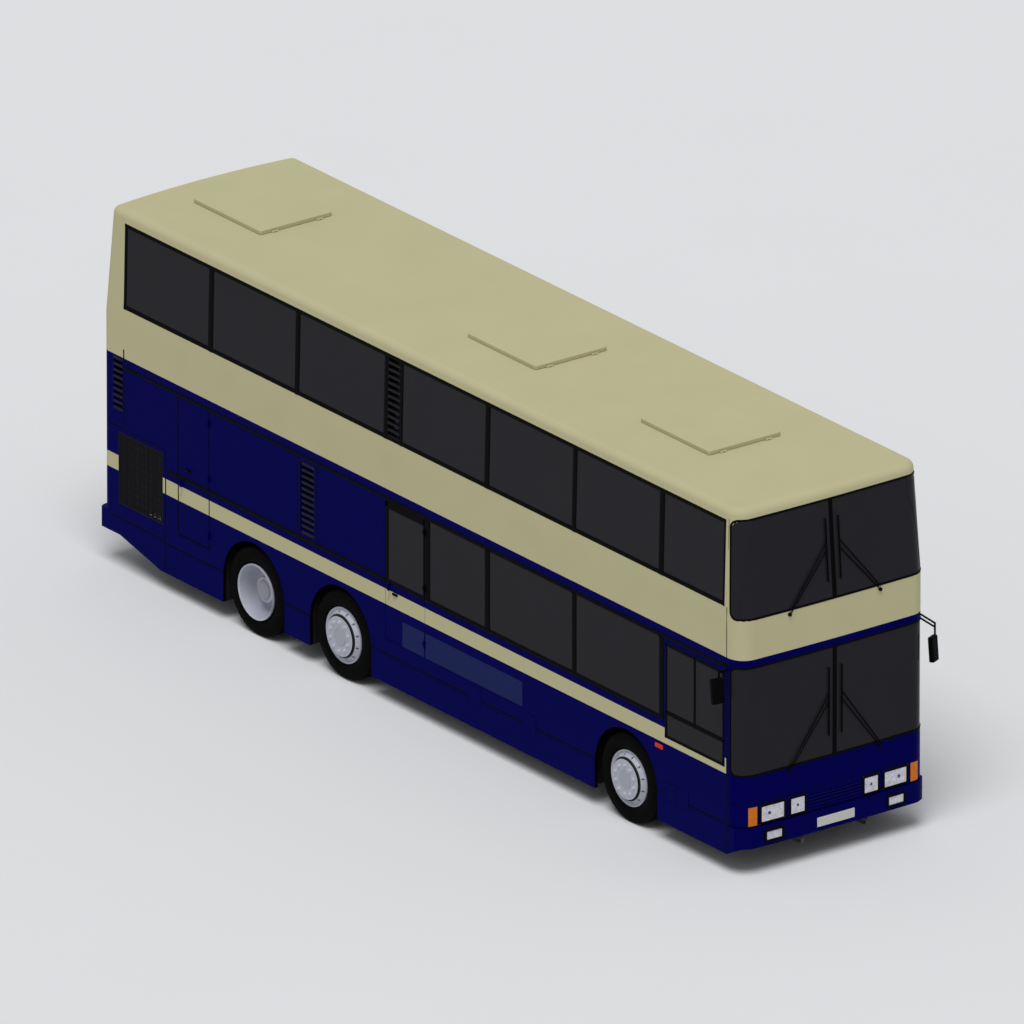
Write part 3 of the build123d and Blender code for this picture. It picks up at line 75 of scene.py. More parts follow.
# windows and screens
WINDOW_POST = 0.045
WINDOW_RADIUS = 0.035
UPPER_Z = (3.039, 4.029)
LOWER_TOP_Z = 2.345
LOWER_SCREEN_Z = (1.129, 2.379)
UPPER_SCREEN_Z = (2.912, 4.029)
SCREEN_EDGE_Y = SEAM_Y - 0.05
SCREEN_RADIUS = 0.09
SCREEN_SWEEP = 0.045
SCREEN_RUBBER_START = 0.013
SCREEN_PILLAR = (-0.045, 0.045)
REAR_WINDOW = (0.95, (3.15, 3.85))
EMERGENCY_GLASS_TOP_Z = 2.252
DOOR_GLASS_Z = (0.38, 2.238)


def behind(distance):
    """Y of a place on the side, given how far it lies behind the front joint."""
    return SEAM_Y + distance


def row_of(start, lengths):
    """(low, high) Y of the windows of one row, a post apart."""
    row = []
    for length in lengths:
        row.append((behind(start), behind(start + length)))
        start += length + WINDOW_POST
    return row


EMERGENCY_Y = (behind(5.327), behind(6.024))
ENTRANCE_Y = (behind(0.06), behind(0.89))
LOCKER_Y = (behind(9.19), behind(9.745))
LOCKER_FOOT_Z = 0.752
UPPER_ROW = row_of(0.01, (1.107, 1.51, 1.51, 1.51)) + row_of(6.062, (1.51, 1.51, 1.51))
AIR_PANEL_Y = (UPPER_ROW[3][1], UPPER_ROW[4][0])

# black posts between the windows, as distances behind the front joint
UPPER_POSTS = (
    (0.041, 0.077),
    (1.117, 1.201),
    (2.657, 2.729),
    (4.191, 4.273),
    (5.733, 5.777),
    (5.983, 6.065),
    (7.577, 7.651),
    (9.121, 9.205),
    (10.679, 10.721),
)
LOWER_POSTS = ((1.107, 1.183), (2.643, 2.717), (4.173, 4.259))
DOOR_POST = (5.235, 5.325)
KERB_POST = (5.985, 6.03)  # rear end of the kerb side's lower windows
# driver's window: posts as (start, end, foot), bands as (low, high)
CAB_POSTS = ((0.041, 0.073, 1.204), (0.545, 0.577, 1.50), (1.045, 1.077, 1.204))
CAB_POST_TOP_Z = 2.284
CAB_BANDS = ((1.204, 1.232), (1.470, 1.518), (2.250, 2.286))
UPPER_BANDS = ((3.030, 3.078), (3.966, 4.010))
LOWER_BANDS = ((1.388, 1.434), (2.326, 2.340))
CREAM_RAIL_Z = (4.009, 4.033)

# painted fields and joints, as distances behind the front joint
STRIPE_Z = (1.133, 1.309)
CAB_STRIPE_Z = (STRIPE_Z[0], 1.201)
STRIPE_START = 1.085
TAIL_JOINT = 9.97
TAIL_VENT_JOINT = 10.72
TAIL_JOINT_Z = 1.654
BAY_JOINTS = ((7.235, 7.257), (7.574, 7.596))
BAY_JOINT_FOOT_Z = 1.427
HALF_JOINT = 0.011
SKIRT_JOINT_Z = (0.552, 0.570)
TAIL_SKIRT_JOINT_Z = (0.579, 0.597)
FLAP_JOINTS = ((4.32, 4.55), (3.35, 3.57), (0.661, 0.882), (0.875, 1.109))
FLAP_JOINT_Z = (0.495, 0.701)
NOSE_JOINTS_Z = ((0.814, 0.823), (0.549, 0.563))
NOSE_PANEL_Z = (0.551, 0.818)
NOSE_PANEL_X = ((-1.004, -1.0), (1.0, 1.004), (-0.624, -0.620), (0.62, 0.624))
LID_JOINT_Z = (1.696, 1.702)

# raised trim of the sides, as distances behind the front joint
WAIST_BEAD = (0.008, 10.72)
WAIST_BEAD_Z = 2.354
SILL_BEADS = {-1: ((1.107, 5.322), (6.030, 9.186), (9.751, 9.91)), 1: ((1.107, 9.91),)}
SILL_BEAD_Z = 1.411
FLAPS = ((4.325, 4.545), (3.355, 3.565), (0.666, 0.873), (0.884, 1.104))
FLAP_Z = (0.5, 0.696)
BOARDS = {"body": (3.595, 5.315), "emergency_door": (5.337, 5.721)}
BOARD_Z = (0.740, 1.020)
MARKER = (1.112, 1.244)
MARKER_Z = (1.047, 1.095)
LEVER = {"inset": 0.175, "half": 0.041, "height": 0.022, "proud": 0.018}
LEVER_Z = {"emergency_door": 1.293, "locker_door": 1.529}
RIVET_RUNS = ((2.36, 6.22), (8.95, 9.9), (0.93, 1.18))
RIVET_Z = 0.592
RIVET_PITCH = 0.12

# lamps as distances round from the middle of the front or rear
HEADLAMPS = ((0.656, 0.974), (0.386, 0.589))
HEADLAMP_Z = (0.575, 0.773)
FOG_LAMP = (0.694, 0.923)
FOG_LAMP_Z = (0.363, 0.487)
FOG_LAMP_OUT = 0.025
TAIL_LAMP = (0.985, 1.105)
TAIL_LAMP_Z = (0.755, 1.385)
LAMP_SPOTS = ((0.86, 0.040), (0.74, 0.020), (0.4875, 0.036))  # X, radius
LAMP_SPOT_Z = 0.674
INDICATOR_X = 1.0

# louvres: along, middle of the first painted highlight lip, pitch, blades
LOUVRES = (
    ((behind(10.741), behind(10.905)), 1.842, 0.072, 9),
    ((behind(7.297), behind(7.517)), 1.478, 0.0713, 12),
    (AIR_PANEL_Y, UPPER_Z[0] + 0.027, 0.076, 13),
)
MESH_Y = (behind(10.02), behind(10.82))
MESH_Z = (0.759, 1.589)
MESH_PITCH = 0.021

# mirror heads: centre, turn towards the driver in degrees
MIRRORS = {
    "right": (Vector((-1.388, SEAM_Y - 0.010, 2.115)), -8),
    "left": (Vector((1.368, SEAM_Y - 0.170, 1.984)), 28),
}
MIRROR_SIZE = (0.135, 0.060, 0.280)
MIRROR_TILT = -6
MIRROR_TOP = 0.118  # a post ends this far above the head's centre
ARM_RADIUS = 0.011
ARM_RISE = 0.206  # the offside arm lies this far above its head's centre
ARM_FALL = 0.16  # the kerb side's arms come down by this on their way out
KERB_ARMS_Z = (2.430, 2.385)
KERB_POST_TOP_Z = 2.275

# wheels
AXLES_Y = {"front": -3.711, "middle": 1.355, "rear": 2.91}
AXLE_Z = 0.5
TYRE_X = 1.085
TWIN_X = 0.755
TREAD_GROOVES = (10, 11, 28, 29)
RIM_LIP = 0.312
DISC_RADIUS = 0.225
DISC_OUT = 0.177
CAP_RADIUS = 0.105

# seats: deck, CAD node, floor, first row behind the front joint, rows
DECKS = (("upper", "upper_seats", 2.45, 0.9, 12), ("lower", "lower_seats", 0.66, 2.96, 4))
SEAT_X = 0.745
SEAT_PITCH = 0.76
PAD_HALF = 0.055
DRIVER = Vector((-0.7, behind(0.56), 0.66))

# blank plates: low Y, high Y, foot
PLATES = ((-5.749, -5.742, 0.368), (5.742, 5.749, 0.455))

# stage
BACKDROP_HALF = 150
LAMP_DIRECTION = (0.32, 0.30, -1)
LAMP_SPREAD = 35  # degrees, which makes its shadows soft


def lean_share(z):
    """Share of the upper deck's lean that is reached at one height."""
    return max(0.0, (z - LEAN_Z) / (ROOF_Z - LEAN_Z))


def side_place(side, y, z, out=0.0):
    """Point on a side wall and the direction out of it."""
    return Vector((side * (SIDE_X - SIDE_LEAN * lean_share(z) + out), y, z)), Vector((side, 0, 0))


def end_measures(end, z):
    """Half width, radius, corner centre and first corner angle of a bowed end at one height."""
    half = SIDE_X - SIDE_LEAN * lean_share(z)
    radius = (half**2 + end["bow"] ** 2) / (2 * end["bow"])
    centre_y = end["tip"] + end["lean"] * lean_share(z) - end["facing"] * radius
    turn = math.asin((half - end["corner"]) / (radius - end["corner"]))
    corner_y = centre_y + end["facing"] * (radius - end["corner"]) * math.cos(turn)
    return half, radius, centre_y, turn, corner_y


def end_place(end, side, distance, z, out=0.0):
    """Point on the front or rear at a distance round from the middle, and the direction out of it."""
    half, radius, centre_y, turn, corner_y = end_measures(end, z)
    flat, facing, corner = radius * turn, end["facing"], end["corner"]
    if distance <= flat:
        angle = distance / radius
        x, y = radius * math.sin(angle), centre_y + facing * radius * math.cos(angle)
    else:
        angle = min(turn + (distance - flat) / corner, math.pi / 2)
        x = half - corner + corner * math.sin(angle)
        y = corner_y + facing * corner * math.cos(angle)
        y -= facing * max(0.0, distance - flat - corner * (math.pi / 2 - turn))
    away = Vector((side * math.sin(angle), facing * math.cos(angle), 0))
    return Vector((side * x, y, z)) + away * out, away


def distance_to(end, y, z):
    """Distance round a corner of the front or rear at which the skin reaches one Y."""
    _, radius, _, turn, corner_y = end_measures(end, z)
    angle = math.acos(max(-1.0, min(1.0, end["facing"] * (y - corner_y) / end["corner"])))
    return radius * turn + end["corner"] * (angle - turn)


# ---------------------------------------------------------------- shapes
def rounded_loop(u, v, radius, steps=5):
    """Corner-rounded rectangle as (u, v) pairs, once round."""
    loop = []
    for cu, cv, start in (
        (u[1] - radius, v[1] - radius, 0),
        (u[0] + radius, v[1] - radius, 90),
        (u[0] + radius, v[0] + radius, 180),
        (u[1] - radius, v[0] + radius, 270),
    ):
        for n in range(steps + 1):
            angle = math.radians(start + 90 * n / steps)
            loop.append((cu + radius * math.cos(angle), cv + radius * math.sin(angle)))
    return loop


def circle_of(radius, steps):
    """Circle as (u, v) pairs, once round."""
    turns = [2 * math.pi * n / steps for n in range(steps)]
    return [(radius * math.cos(turn), radius * math.sin(turn)) for turn in turns]


def bead_section(width, rise, depth=0.002):
    """Crowned section of a rubber or metal bead, as (across, out) pairs."""
    half = width / 2
    return [
        (-half, -depth),
        (-half, rise * 0.4),
        (-half * 0.6, rise),
        (half * 0.6, rise),
        (half, rise * 0.4),
        (half, -depth),
    ]


class Shape:
    """Points, faces and finishes of one piece while it is being made."""

    def __init__(self):
        self.points, self.faces, self.finishes = [], [], []

    def add(self, points, faces, finish=0):
        """Add points and the faces between them."""
        start = len(self.points)
        self.points += [tuple(p) for p in points]
        self.faces += [[start + i for i in face] for face in faces]
        self.finishes += [finish] * len(faces)

    def block(self, low, high, finish=0):
        """Block between two corners."""
        spans = list(zip(low, high))
        points = [(x, y, z) for x in spans[0] for y in spans[1] for z in spans[2]]
        faces = [(0, 1, 3, 2), (4, 6, 7, 5), (0, 4, 5, 1), (2, 3, 7, 6), (0, 2, 6, 4), (1, 5, 7, 3)]
        self.add(points, faces, finish)

    def sweep(self, line, section, closed=False, finish=0):
        """Carry a section along a line of (point, direction out) pairs, mitred at its corners."""
        count, size, points = len(line), len(section), []
        for i, (place, away) in enumerate(line):
            before = line[i - 1][0] if closed or i else None
            after = line[(i + 1) % count][0] if closed or i < count - 1 else None
            arriving = (after - place if before is None else place - before).normalized()
            leaving = arriving if after is None else (after - place).normalized()
            across = (arriving + leaving).cross(away).normalized()
            mitre = 1 / max(0.5, across.dot(leaving.cross(away).normalized()))
            points += [place + across * (a * mitre) + away * o for a, o in section]
        faces = []
        for i in range(count if closed else count - 1):
            j = (i + 1) % count
            for k in range(size):
                m = (k + 1) % size
                faces.append((i * size + k, j * size + k, j * size + m, i * size + m))
        if not closed:
            faces += [tuple(range(size)), tuple(range((count - 1) * size, count * size))]
        self.add(points, faces, finish)

    def slab(self, rows, rise, depth, finish=0):
        """Closed slab over rows of (point, direction out) pairs."""
        wide, points = len(rows[0]), []
        for out in (rise, -depth):
            points += [place + away * out for row in rows for place, away in row]
        under, faces = len(rows) * wide, []
        for i in range(len(rows) - 1):
            for k in range(wide - 1):
                a = i * wide + k
                faces.append((a, a + 1, a + wide + 1, a + wide))
                faces.append((a + under, a + wide + under, a + wide + 1 + under, a + 1 + under))
        rim = [k for k in range(wide)] + [i * wide + wide - 1 for i in range(1, len(rows))]
        rim += [(len(rows) - 1) * wide + k for k in range(wide - 2, -1, -1)]
        rim += [i * wide for i in range(len(rows) - 2, 0, -1)]
        for a, b in zip(rim, rim[1:] + rim[:1]):
            faces.append((a, b, b + under, a + under))
        self.add(points, faces, finish)

    def band(self, side, y, z, rise=0.004, finish=0):
        """Flat raised strip on a side wall between two Y and two levels."""
        if y[1] - y[0] > z[1] - z[0]:
            steps = max(1, round(y[1] - y[0]))
            middle, width = (z[0] + z[1]) / 2, z[1] - z[0]
            line = [side_place(side, y[0] + (y[1] - y[0]) * n / steps, middle) for n in range(steps + 1)]
        else:
            middle, width = (y[0] + y[1]) / 2, y[1] - y[0]
            line = [side_place(side, middle, level) for level in z]
        self.sweep(line, bead_section(width, rise, 0.008), finish=finish)

    def rod(self, start, end, radius, steps=12, finish=0):
        """Round rod between two points."""
        along = (end - start).normalized()
        away = along.orthogonal().normalized()
        self.sweep([(start, away), (end, away)], circle_of(radius, steps), finish=finish)

    def prism(self, loop, levels):
        """Closed prism over a loop of (x, y) pairs, scaled at each (z, scale) level."""
        size, faces = len(loop), []
        points = [(x * scale, y * scale, z) for z, scale in levels for x, y in loop]
        for low in range(0, len(points) - size, size):
            for n in range(size):
                m = (n + 1) % size
                faces.append((low + n, low + m, low + size + m, low + size + n))
        last = len(points) - size
        self.add(points, faces + [tuple(range(size - 1, -1, -1)), tuple(range(last, last + size))])

    def turned(self, profile, side, centre, steps=64, closed=False, finish=0, lugs=()):
        """Turn a profile of (out along the axle, radius) pairs about an axle along X."""
        size, points, faces = len(profile), [], []
        for i in range(steps):
            angle = 2 * math.pi * i / steps
            for k, (out, radius) in enumerate(profile):
                if k in lugs and i % 2:
                    radius -= 0.006
                points.append(
                    (
                        centre[0] + side * out,
                        centre[1] + radius * math.cos(angle),
                        centre[2] + radius * math.sin(angle),
                    )
                )
        for i in range(steps):
            j = (i + 1) % steps
            for k in range(size if closed else size - 1):
                m = (k + 1) % size
                faces.append((i * size + k, j * size + k, j * size + m, i * size + m))
        if not closed:
            faces += [tuple(i * size + end for i in range(steps)) for end in (0, size - 1)]
        self.add(points, faces, finish)

    def mesh(self, name):
        """Plain mesh with its faces pointing outwards."""
        mesh = bpy.data.meshes.new(name)
        mesh.from_pydata(self.points, [], self.faces)
        mesh.polygons.foreach_set("material_index", self.finishes)
        form = bmesh.new()
        form.from_mesh(mesh)
        bmesh.ops.recalc_face_normals(form, faces=form.faces)
        form.to_mesh(mesh)
        form.free()
        return mesh

    def unit(self, name):
        """Object for a node tree or a cut; it is taken away once its pieces are made."""
        unit = bpy.data.objects.new(name, self.mesh(name))
        bpy.context.scene.collection.objects.link(unit)
        return unit

    def take(self, mesh, move=None, finish=0):
        """Add a mesh's faces, moved by a matrix."""
        move = move or Matrix.Identity(4)
        self.add([move @ v.co for v in mesh.vertices], [list(p.vertices) for p in mesh.polygons], finish)
        bpy.data.meshes.remove(mesh)

    def piece(self, name, body, slot, finishes, replaces=(), angle=35, bevel=0.0):
        """Make the finished object, riding on its body."""
        return finished(name, self.mesh(name), body, finishes, replaces, angle, bevel)


def finished(name, mesh, body, finishes, replaces=(), angle=35, bevel=0.0):
    """Object of a mesh, with its materials, smooth faces, body and the nodes it stands for."""
    mesh.materials.clear()
    for finish in finishes:
        mesh.materials.append(finish)
    mesh.shade_smooth()
    mesh.set_sharp_from_angle(angle=math.radians(angle))
    mesh.update()
    piece = bpy.data.objects.new(name, mesh)
    bpy.context.scene.collection.objects.link(piece)
    if bevel:
        rounding = piece.modifiers.new("Rounded edges", "BEVEL")
        rounding.width = bevel
        rounding.segments = 2
        rounding.limit_method = "ANGLE"
        rounding.angle_limit = math.radians(50)
    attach(piece, body)
    if replaces:
        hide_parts(*replaces)
    return piece


# ---------------------------------------------------------------- repeats with geometry nodes
def new_tree(name, inputs, outputs, kind="ShaderNodeTree"):
    """Node tree with named sockets, and its input and output nodes."""
    tree = bpy.data.node_groups.new(name, kind)
    for label, socket_type, default in inputs:
        socket = tree.interface.new_socket(label, in_out="INPUT", socket_type=socket_type)
        if default is not None:
            socket.default_value = default
    for label, socket_type in outputs:
        tree.interface.new_socket(label, in_out="OUTPUT", socket_type=socket_type)
    return tree, tree.nodes.new("NodeGroupInput"), tree.nodes.new("NodeGroupOutput")


def repeat_tree(name, inputs):
    """Geometry node tree with named inputs."""
    geometry = ("Geometry", "NodeSocketGeometry")
    return new_tree(name, [(*geometry, None), *inputs], [geometry], "GeometryNodeTree")


def repeated(tree, entry, outlet, points, turn=None):
    """Put the unit on the points, make it real and give it its finish."""
    link = tree.links.new
    unit = tree.nodes.new("GeometryNodeObjectInfo")
    setting = tree.nodes.new("GeometryNodeInstanceOnPoints")
    real = tree.nodes.new("GeometryNodeRealizeInstances")
    finish = tree.nodes.new("GeometryNodeSetMaterial")
    link(entry.outputs["Unit"], unit.inputs["Object"])
    link(points, setting.inputs["Points"])
    link(unit.outputs["Geometry"], setting.inputs["Instance"])
    link(entry.outputs["Scale"], setting.inputs["Scale"])
    if turn is not None:
        link(turn, setting.inputs["Rotation"])
    link(setting.outputs["Instances"], real.inputs["Geometry"])
    link(real.outputs["Geometry"], finish.inputs["Geometry"])
    link(entry.outputs["Finish"], finish.inputs["Material"])
    link(finish.outputs["Geometry"], outlet.inputs[0])


def places_tree():
    """Units set out on given places."""
    tree, entry, outlet = repeat_tree(
        "Units on places",
        [
            ("Unit", "NodeSocketObject", None),
            ("Scale", "NodeSocketVector", (1, 1, 1)),
            ("Turn", "NodeSocketRotation", None),
            ("Finish", "NodeSocketMaterial", None),
        ],
    )
    points = tree.nodes.new("GeometryNodeMeshToPoints")
    tree.links.new(entry.outputs["Geometry"], points.inputs["Mesh"])
    repeated(tree, entry, outlet, points.outputs["Points"], entry.outputs["Turn"])
    return tree


def ring_tree():
    """Units set out round a ring about an axle along X, each turned by a seeded amount."""
    tree, entry, outlet = repeat_tree(
        "Units round a ring",
        [
            ("Unit", "NodeSocketObject", None),
            ("Count", "NodeSocketInt", 10),
            ("Radius", "NodeSocketFloat", 0.16),
            ("Scale", "NodeSocketVector", (1, 1, 1)),
            ("Looseness", "NodeSocketFloat", 0.3),
            ("Seed", "NodeSocketInt", 1),
            ("Finish", "NodeSocketMaterial", None),
        ],
    )
    link = tree.links.new
    ring = tree.nodes.new("GeometryNodeMeshCircle")
    points = tree.nodes.new("GeometryNodeMeshToPoints")
    chance = tree.nodes.new("FunctionNodeRandomValue")
    chance.data_type = "FLOAT"
    turn = tree.nodes.new("ShaderNodeCombineXYZ")
    link(entry.outputs["Count"], ring.inputs["Vertices"])
    link(entry.outputs["Radius"], ring.inputs["Radius"])
    link(ring.outputs["Mesh"], points.inputs["Mesh"])
    link(entry.outputs["Looseness"], chance.inputs[3])
    link(entry.outputs["Seed"], chance.inputs["Seed"])
    link(chance.outputs[1], turn.inputs["Z"])
    repeated(tree, entry, outlet, points.outputs["Points"], turn.outputs["Vector"])
    return tree


def row_tree():
    """Units set out in a straight row."""
    tree, entry, outlet = repeat_tree(
        "Units in a row",
        [
            ("Unit", "NodeSocketObject", None),
            ("Count", "NodeSocketInt", 10),
            ("Start", "NodeSocketVector", (0, 0, 0)),
            ("Step", "NodeSocketVector", (0, 0.1, 0)),
            ("Scale", "NodeSocketVector", (1, 1, 1)),
            ("Finish", "NodeSocketMaterial", None),
        ],
    )
    link = tree.links.new
    row = tree.nodes.new("GeometryNodeMeshLine")
    points = tree.nodes.new("GeometryNodeMeshToPoints")
    link(entry.outputs["Count"], row.inputs["Count"])
    link(entry.outputs["Start"], row.inputs["Start Location"])
    link(entry.outputs["Step"], row.inputs["Offset"])
    link(row.outputs["Mesh"], points.inputs["Mesh"])
    repeated(tree, entry, outlet, points.outputs["Points"])
    return tree


def grown_mesh(tree, values, places=()):
    """Plain mesh that a node tree makes from its named inputs and its places."""
    base = bpy.data.meshes.new("places")
    base.from_pydata([tuple(p) for p in places], [], [])
    holder = bpy.data.objects.new("holder", base)
    bpy.context.scene.collection.objects.link(holder)
    maker = holder.modifiers.new("Repeat", "NODES")
    maker.node_group = tree
    sockets = {s.name: s.identifier for s in tree.interface.items_tree if s.in_out == "INPUT"}
    for label, value in values.items():
        maker[sockets[label]] = value
    bpy.context.view_layer.update()
    evaluated = holder.evaluated_get(bpy.context.evaluated_depsgraph_get())
    mesh = bpy.data.meshes.new_from_object(evaluated)
    holder.modifiers.remove(maker)
    bpy.data.objects.remove(holder)
    if not mesh.polygons:
        raise RuntimeError(f"the tree {tree.name} made no faces")
    return mesh


# ---------------------------------------------------------------- materials
def tone(red, green, blue):
    """Linear colour of a display colour given in 0 to 255."""
    return tuple(
        (c / 255 / 12.92) if c / 255 <= 0.04045 else ((c / 255 + 0.055) / 1.055) ** 2.4
        for c in (red, green, blue)
    )


def node(tree, kind, inputs=None, **settings):
    """Add a node with its settings and inputs; an input may be a value or another node's output."""
    made = tree.nodes.new(kind)
    for key, value in settings.items():
        setattr(made, key, value)
    for key, value in (inputs or {}).items():
        socket = made.inputs[key]
        if isinstance(value, bpy.types.NodeSocket):
            tree.links.new(value, socket)
        else:
            socket.default_value = value
    return made


def sum_of(tree, operation, first, second=0.0, third=None):
    """Output of one Math node."""
    inputs = {0: first, 1: second}
    if third is not None:
        inputs[2] = third
    return node(tree, "ShaderNodeMath", inputs, operation=operation).outputs[0]


def blend_of(tree, share, first, second, kind="MIX"):
    """Output of one colour Mix node."""

    def colour(value):
        return value if isinstance(value, bpy.types.NodeSocket) else (*value[:3], 1)

    made = node(
        tree,
        "ShaderNodeMix",
        {0: share, 6: colour(first), 7: colour(second)},
        data_type="RGBA",
        blend_type=kind,
    )
    return made.outputs[2]


def field_group():
    """Mask of one upright rectangle on a panel."""
    tree, entry, outlet = new_tree(
        "Painted field",
        [
            ("Along", "NodeSocketFloat", 0.0),
            ("Up", "NodeSocketFloat", 0.0),
            ("Middle along", "NodeSocketFloat", 0.0),
            ("Half length", "NodeSocketFloat", 1.0),
            ("Middle up", "NodeSocketFloat", 0.0),
            ("Half height", "NodeSocketFloat", 1.0),
        ],
        [("Mask", "NodeSocketFloat")],
    )
    masks = []
    for place, middle, half in (
        ("Along", "Middle along", "Half length"),
        ("Up", "Middle up", "Half height"),
    ):
        gap = sum_of(tree, "SUBTRACT", entry.outputs[place], entry.outputs[middle])
        gap = sum_of(tree, "ABSOLUTE", gap)
        masks.append(sum_of(tree, "LESS_THAN", gap, entry.outputs[half]))
    tree.links.new(sum_of(tree, "MULTIPLY", *masks), outlet.inputs["Mask"])
    return tree


def grain_group():
    """Fine grain of a painted or moulded surface, with a broad unevenness."""
    tree, entry, outlet = new_tree(
        "Surface grain",
        [
            ("Position", "NodeSocketVector", None),
            ("Fine scale", "NodeSocketFloat", 400.0),
            ("Broad scale", "NodeSocketFloat", 2.0),
        ],
        [("Fine", "NodeSocketFloat"), ("Broad", "NodeSocketFloat")],
    )
    for label, detail in (("Fine", 2.0), ("Broad", 4.0)):
        noise = node(
            tree,
            "ShaderNodeTexNoise",
            {
                "Vector": entry.outputs["Position"],
                "Scale": entry.outputs[f"{label} scale"],
                "Detail": detail,
                "Roughness": 0.6,
            },
        )
        tree.links.new(noise.outputs[0], outlet.inputs[label])
    return tree


def dust_group():
    """Road dust that thins out upwards from the ground."""
    tree, entry, outlet = new_tree(
        "Road dust",
        [
            ("Position", "NodeSocketVector", None),
            ("Amount", "NodeSocketFloat", 0.2),
            ("Top", "NodeSocketFloat", 1.2),
            ("Patch scale", "NodeSocketFloat", 3.0),
        ],
        [("Mask", "NodeSocketFloat")],
    )
    apart = node(tree, "ShaderNodeSeparateXYZ", {0: entry.outputs["Position"]})
    patches = node(
        tree,
        "ShaderNodeTexNoise",
        {
            "Vector": entry.outputs["Position"],
            "Scale": entry.outputs["Patch scale"],
            "Detail": 5.0,
            "Roughness": 0.7,
        },
    )
    fall = sum_of(tree, "DIVIDE", apart.outputs["Z"], entry.outputs["Top"])
    fall = sum_of(tree, "SUBTRACT", 1.0, fall)
    fall = sum_of(tree, "MAXIMUM", fall, 0.08)
    mask = sum_of(tree, "MULTIPLY", fall, patches.outputs[0])
    amount = entry.outputs["Amount"]
    mask = node(tree, "ShaderNodeMath", {0: mask, 1: amount}, operation="MULTIPLY", use_clamp=True)
    tree.links.new(mask.outputs[0], outlet.inputs["Mask"])
    return tree


def worn_group():
    """Worn or stained spots, more of them the lower the threshold."""
    tree, entry, outlet = new_tree(
        "Worn spots",
        [
            ("Position", "NodeSocketVector", None),
            ("Scale", "NodeSocketFloat", 12.0),
            ("Threshold", "NodeSocketFloat", 0.6),
        ],
        [("Mask", "NodeSocketFloat")],
    )
    noise = node(
        tree,
        "ShaderNodeTexNoise",
        {
            "Vector": entry.outputs["Position"],
            "Scale": entry.outputs["Scale"],
            "Detail": 6.0,
            "Roughness": 0.75,
        },
    )
    over = sum_of(tree, "SUBTRACT", noise.outputs[0], entry.outputs["Threshold"])
    mask = node(tree, "ShaderNodeMath", {0: over, 1: 9.0}, operation="MULTIPLY", use_clamp=True)
    tree.links.new(mask.outputs[0], outlet.inputs["Mask"])
    return tree


def weave_group():
    """Crossing threads of a woven cloth."""
    tree, entry, outlet = new_tree(
        "Woven threads",
        [("Position", "NodeSocketVector", None), ("Thread scale", "NodeSocketFloat", 260.0)],
        [("Height", "NodeSocketFloat"), ("Shade", "NodeSocketFloat")],
    )
    bands = []
    for axis in ("X", "Z", "Y"):
        wave = node(
            tree,
            "ShaderNodeTexWave",
            {
                "Vector": entry.outputs["Position"],
                "Scale": entry.outputs["Thread scale"],
                "Distortion": 0.4,
            },
            bands_direction=axis,
        )
        bands.append(wave.outputs["Fac"])
    height = sum_of(tree, "MAXIMUM", bands[0], sum_of(tree, "MULTIPLY", bands[1], bands[2]))
    noise = node(
        tree, "ShaderNodeTexNoise", {"Vector": entry.outputs["Position"], "Scale": 40.0, "Detail": 3.0}
    )
    tree.links.new(height, outlet.inputs["Height"])
    tree.links.new(noise.outputs[0], outlet.inputs["Shade"])
    return tree


def groups():
    """The shared shader groups, each made once."""
    makers = {
        "Painted field": field_group,
        "Surface grain": grain_group,
        "Road dust": dust_group,
        "Worn spots": worn_group,
        "Woven threads": weave_group,
    }
    return {name: bpy.data.node_groups.get(name) or make() for name, make in makers.items()}


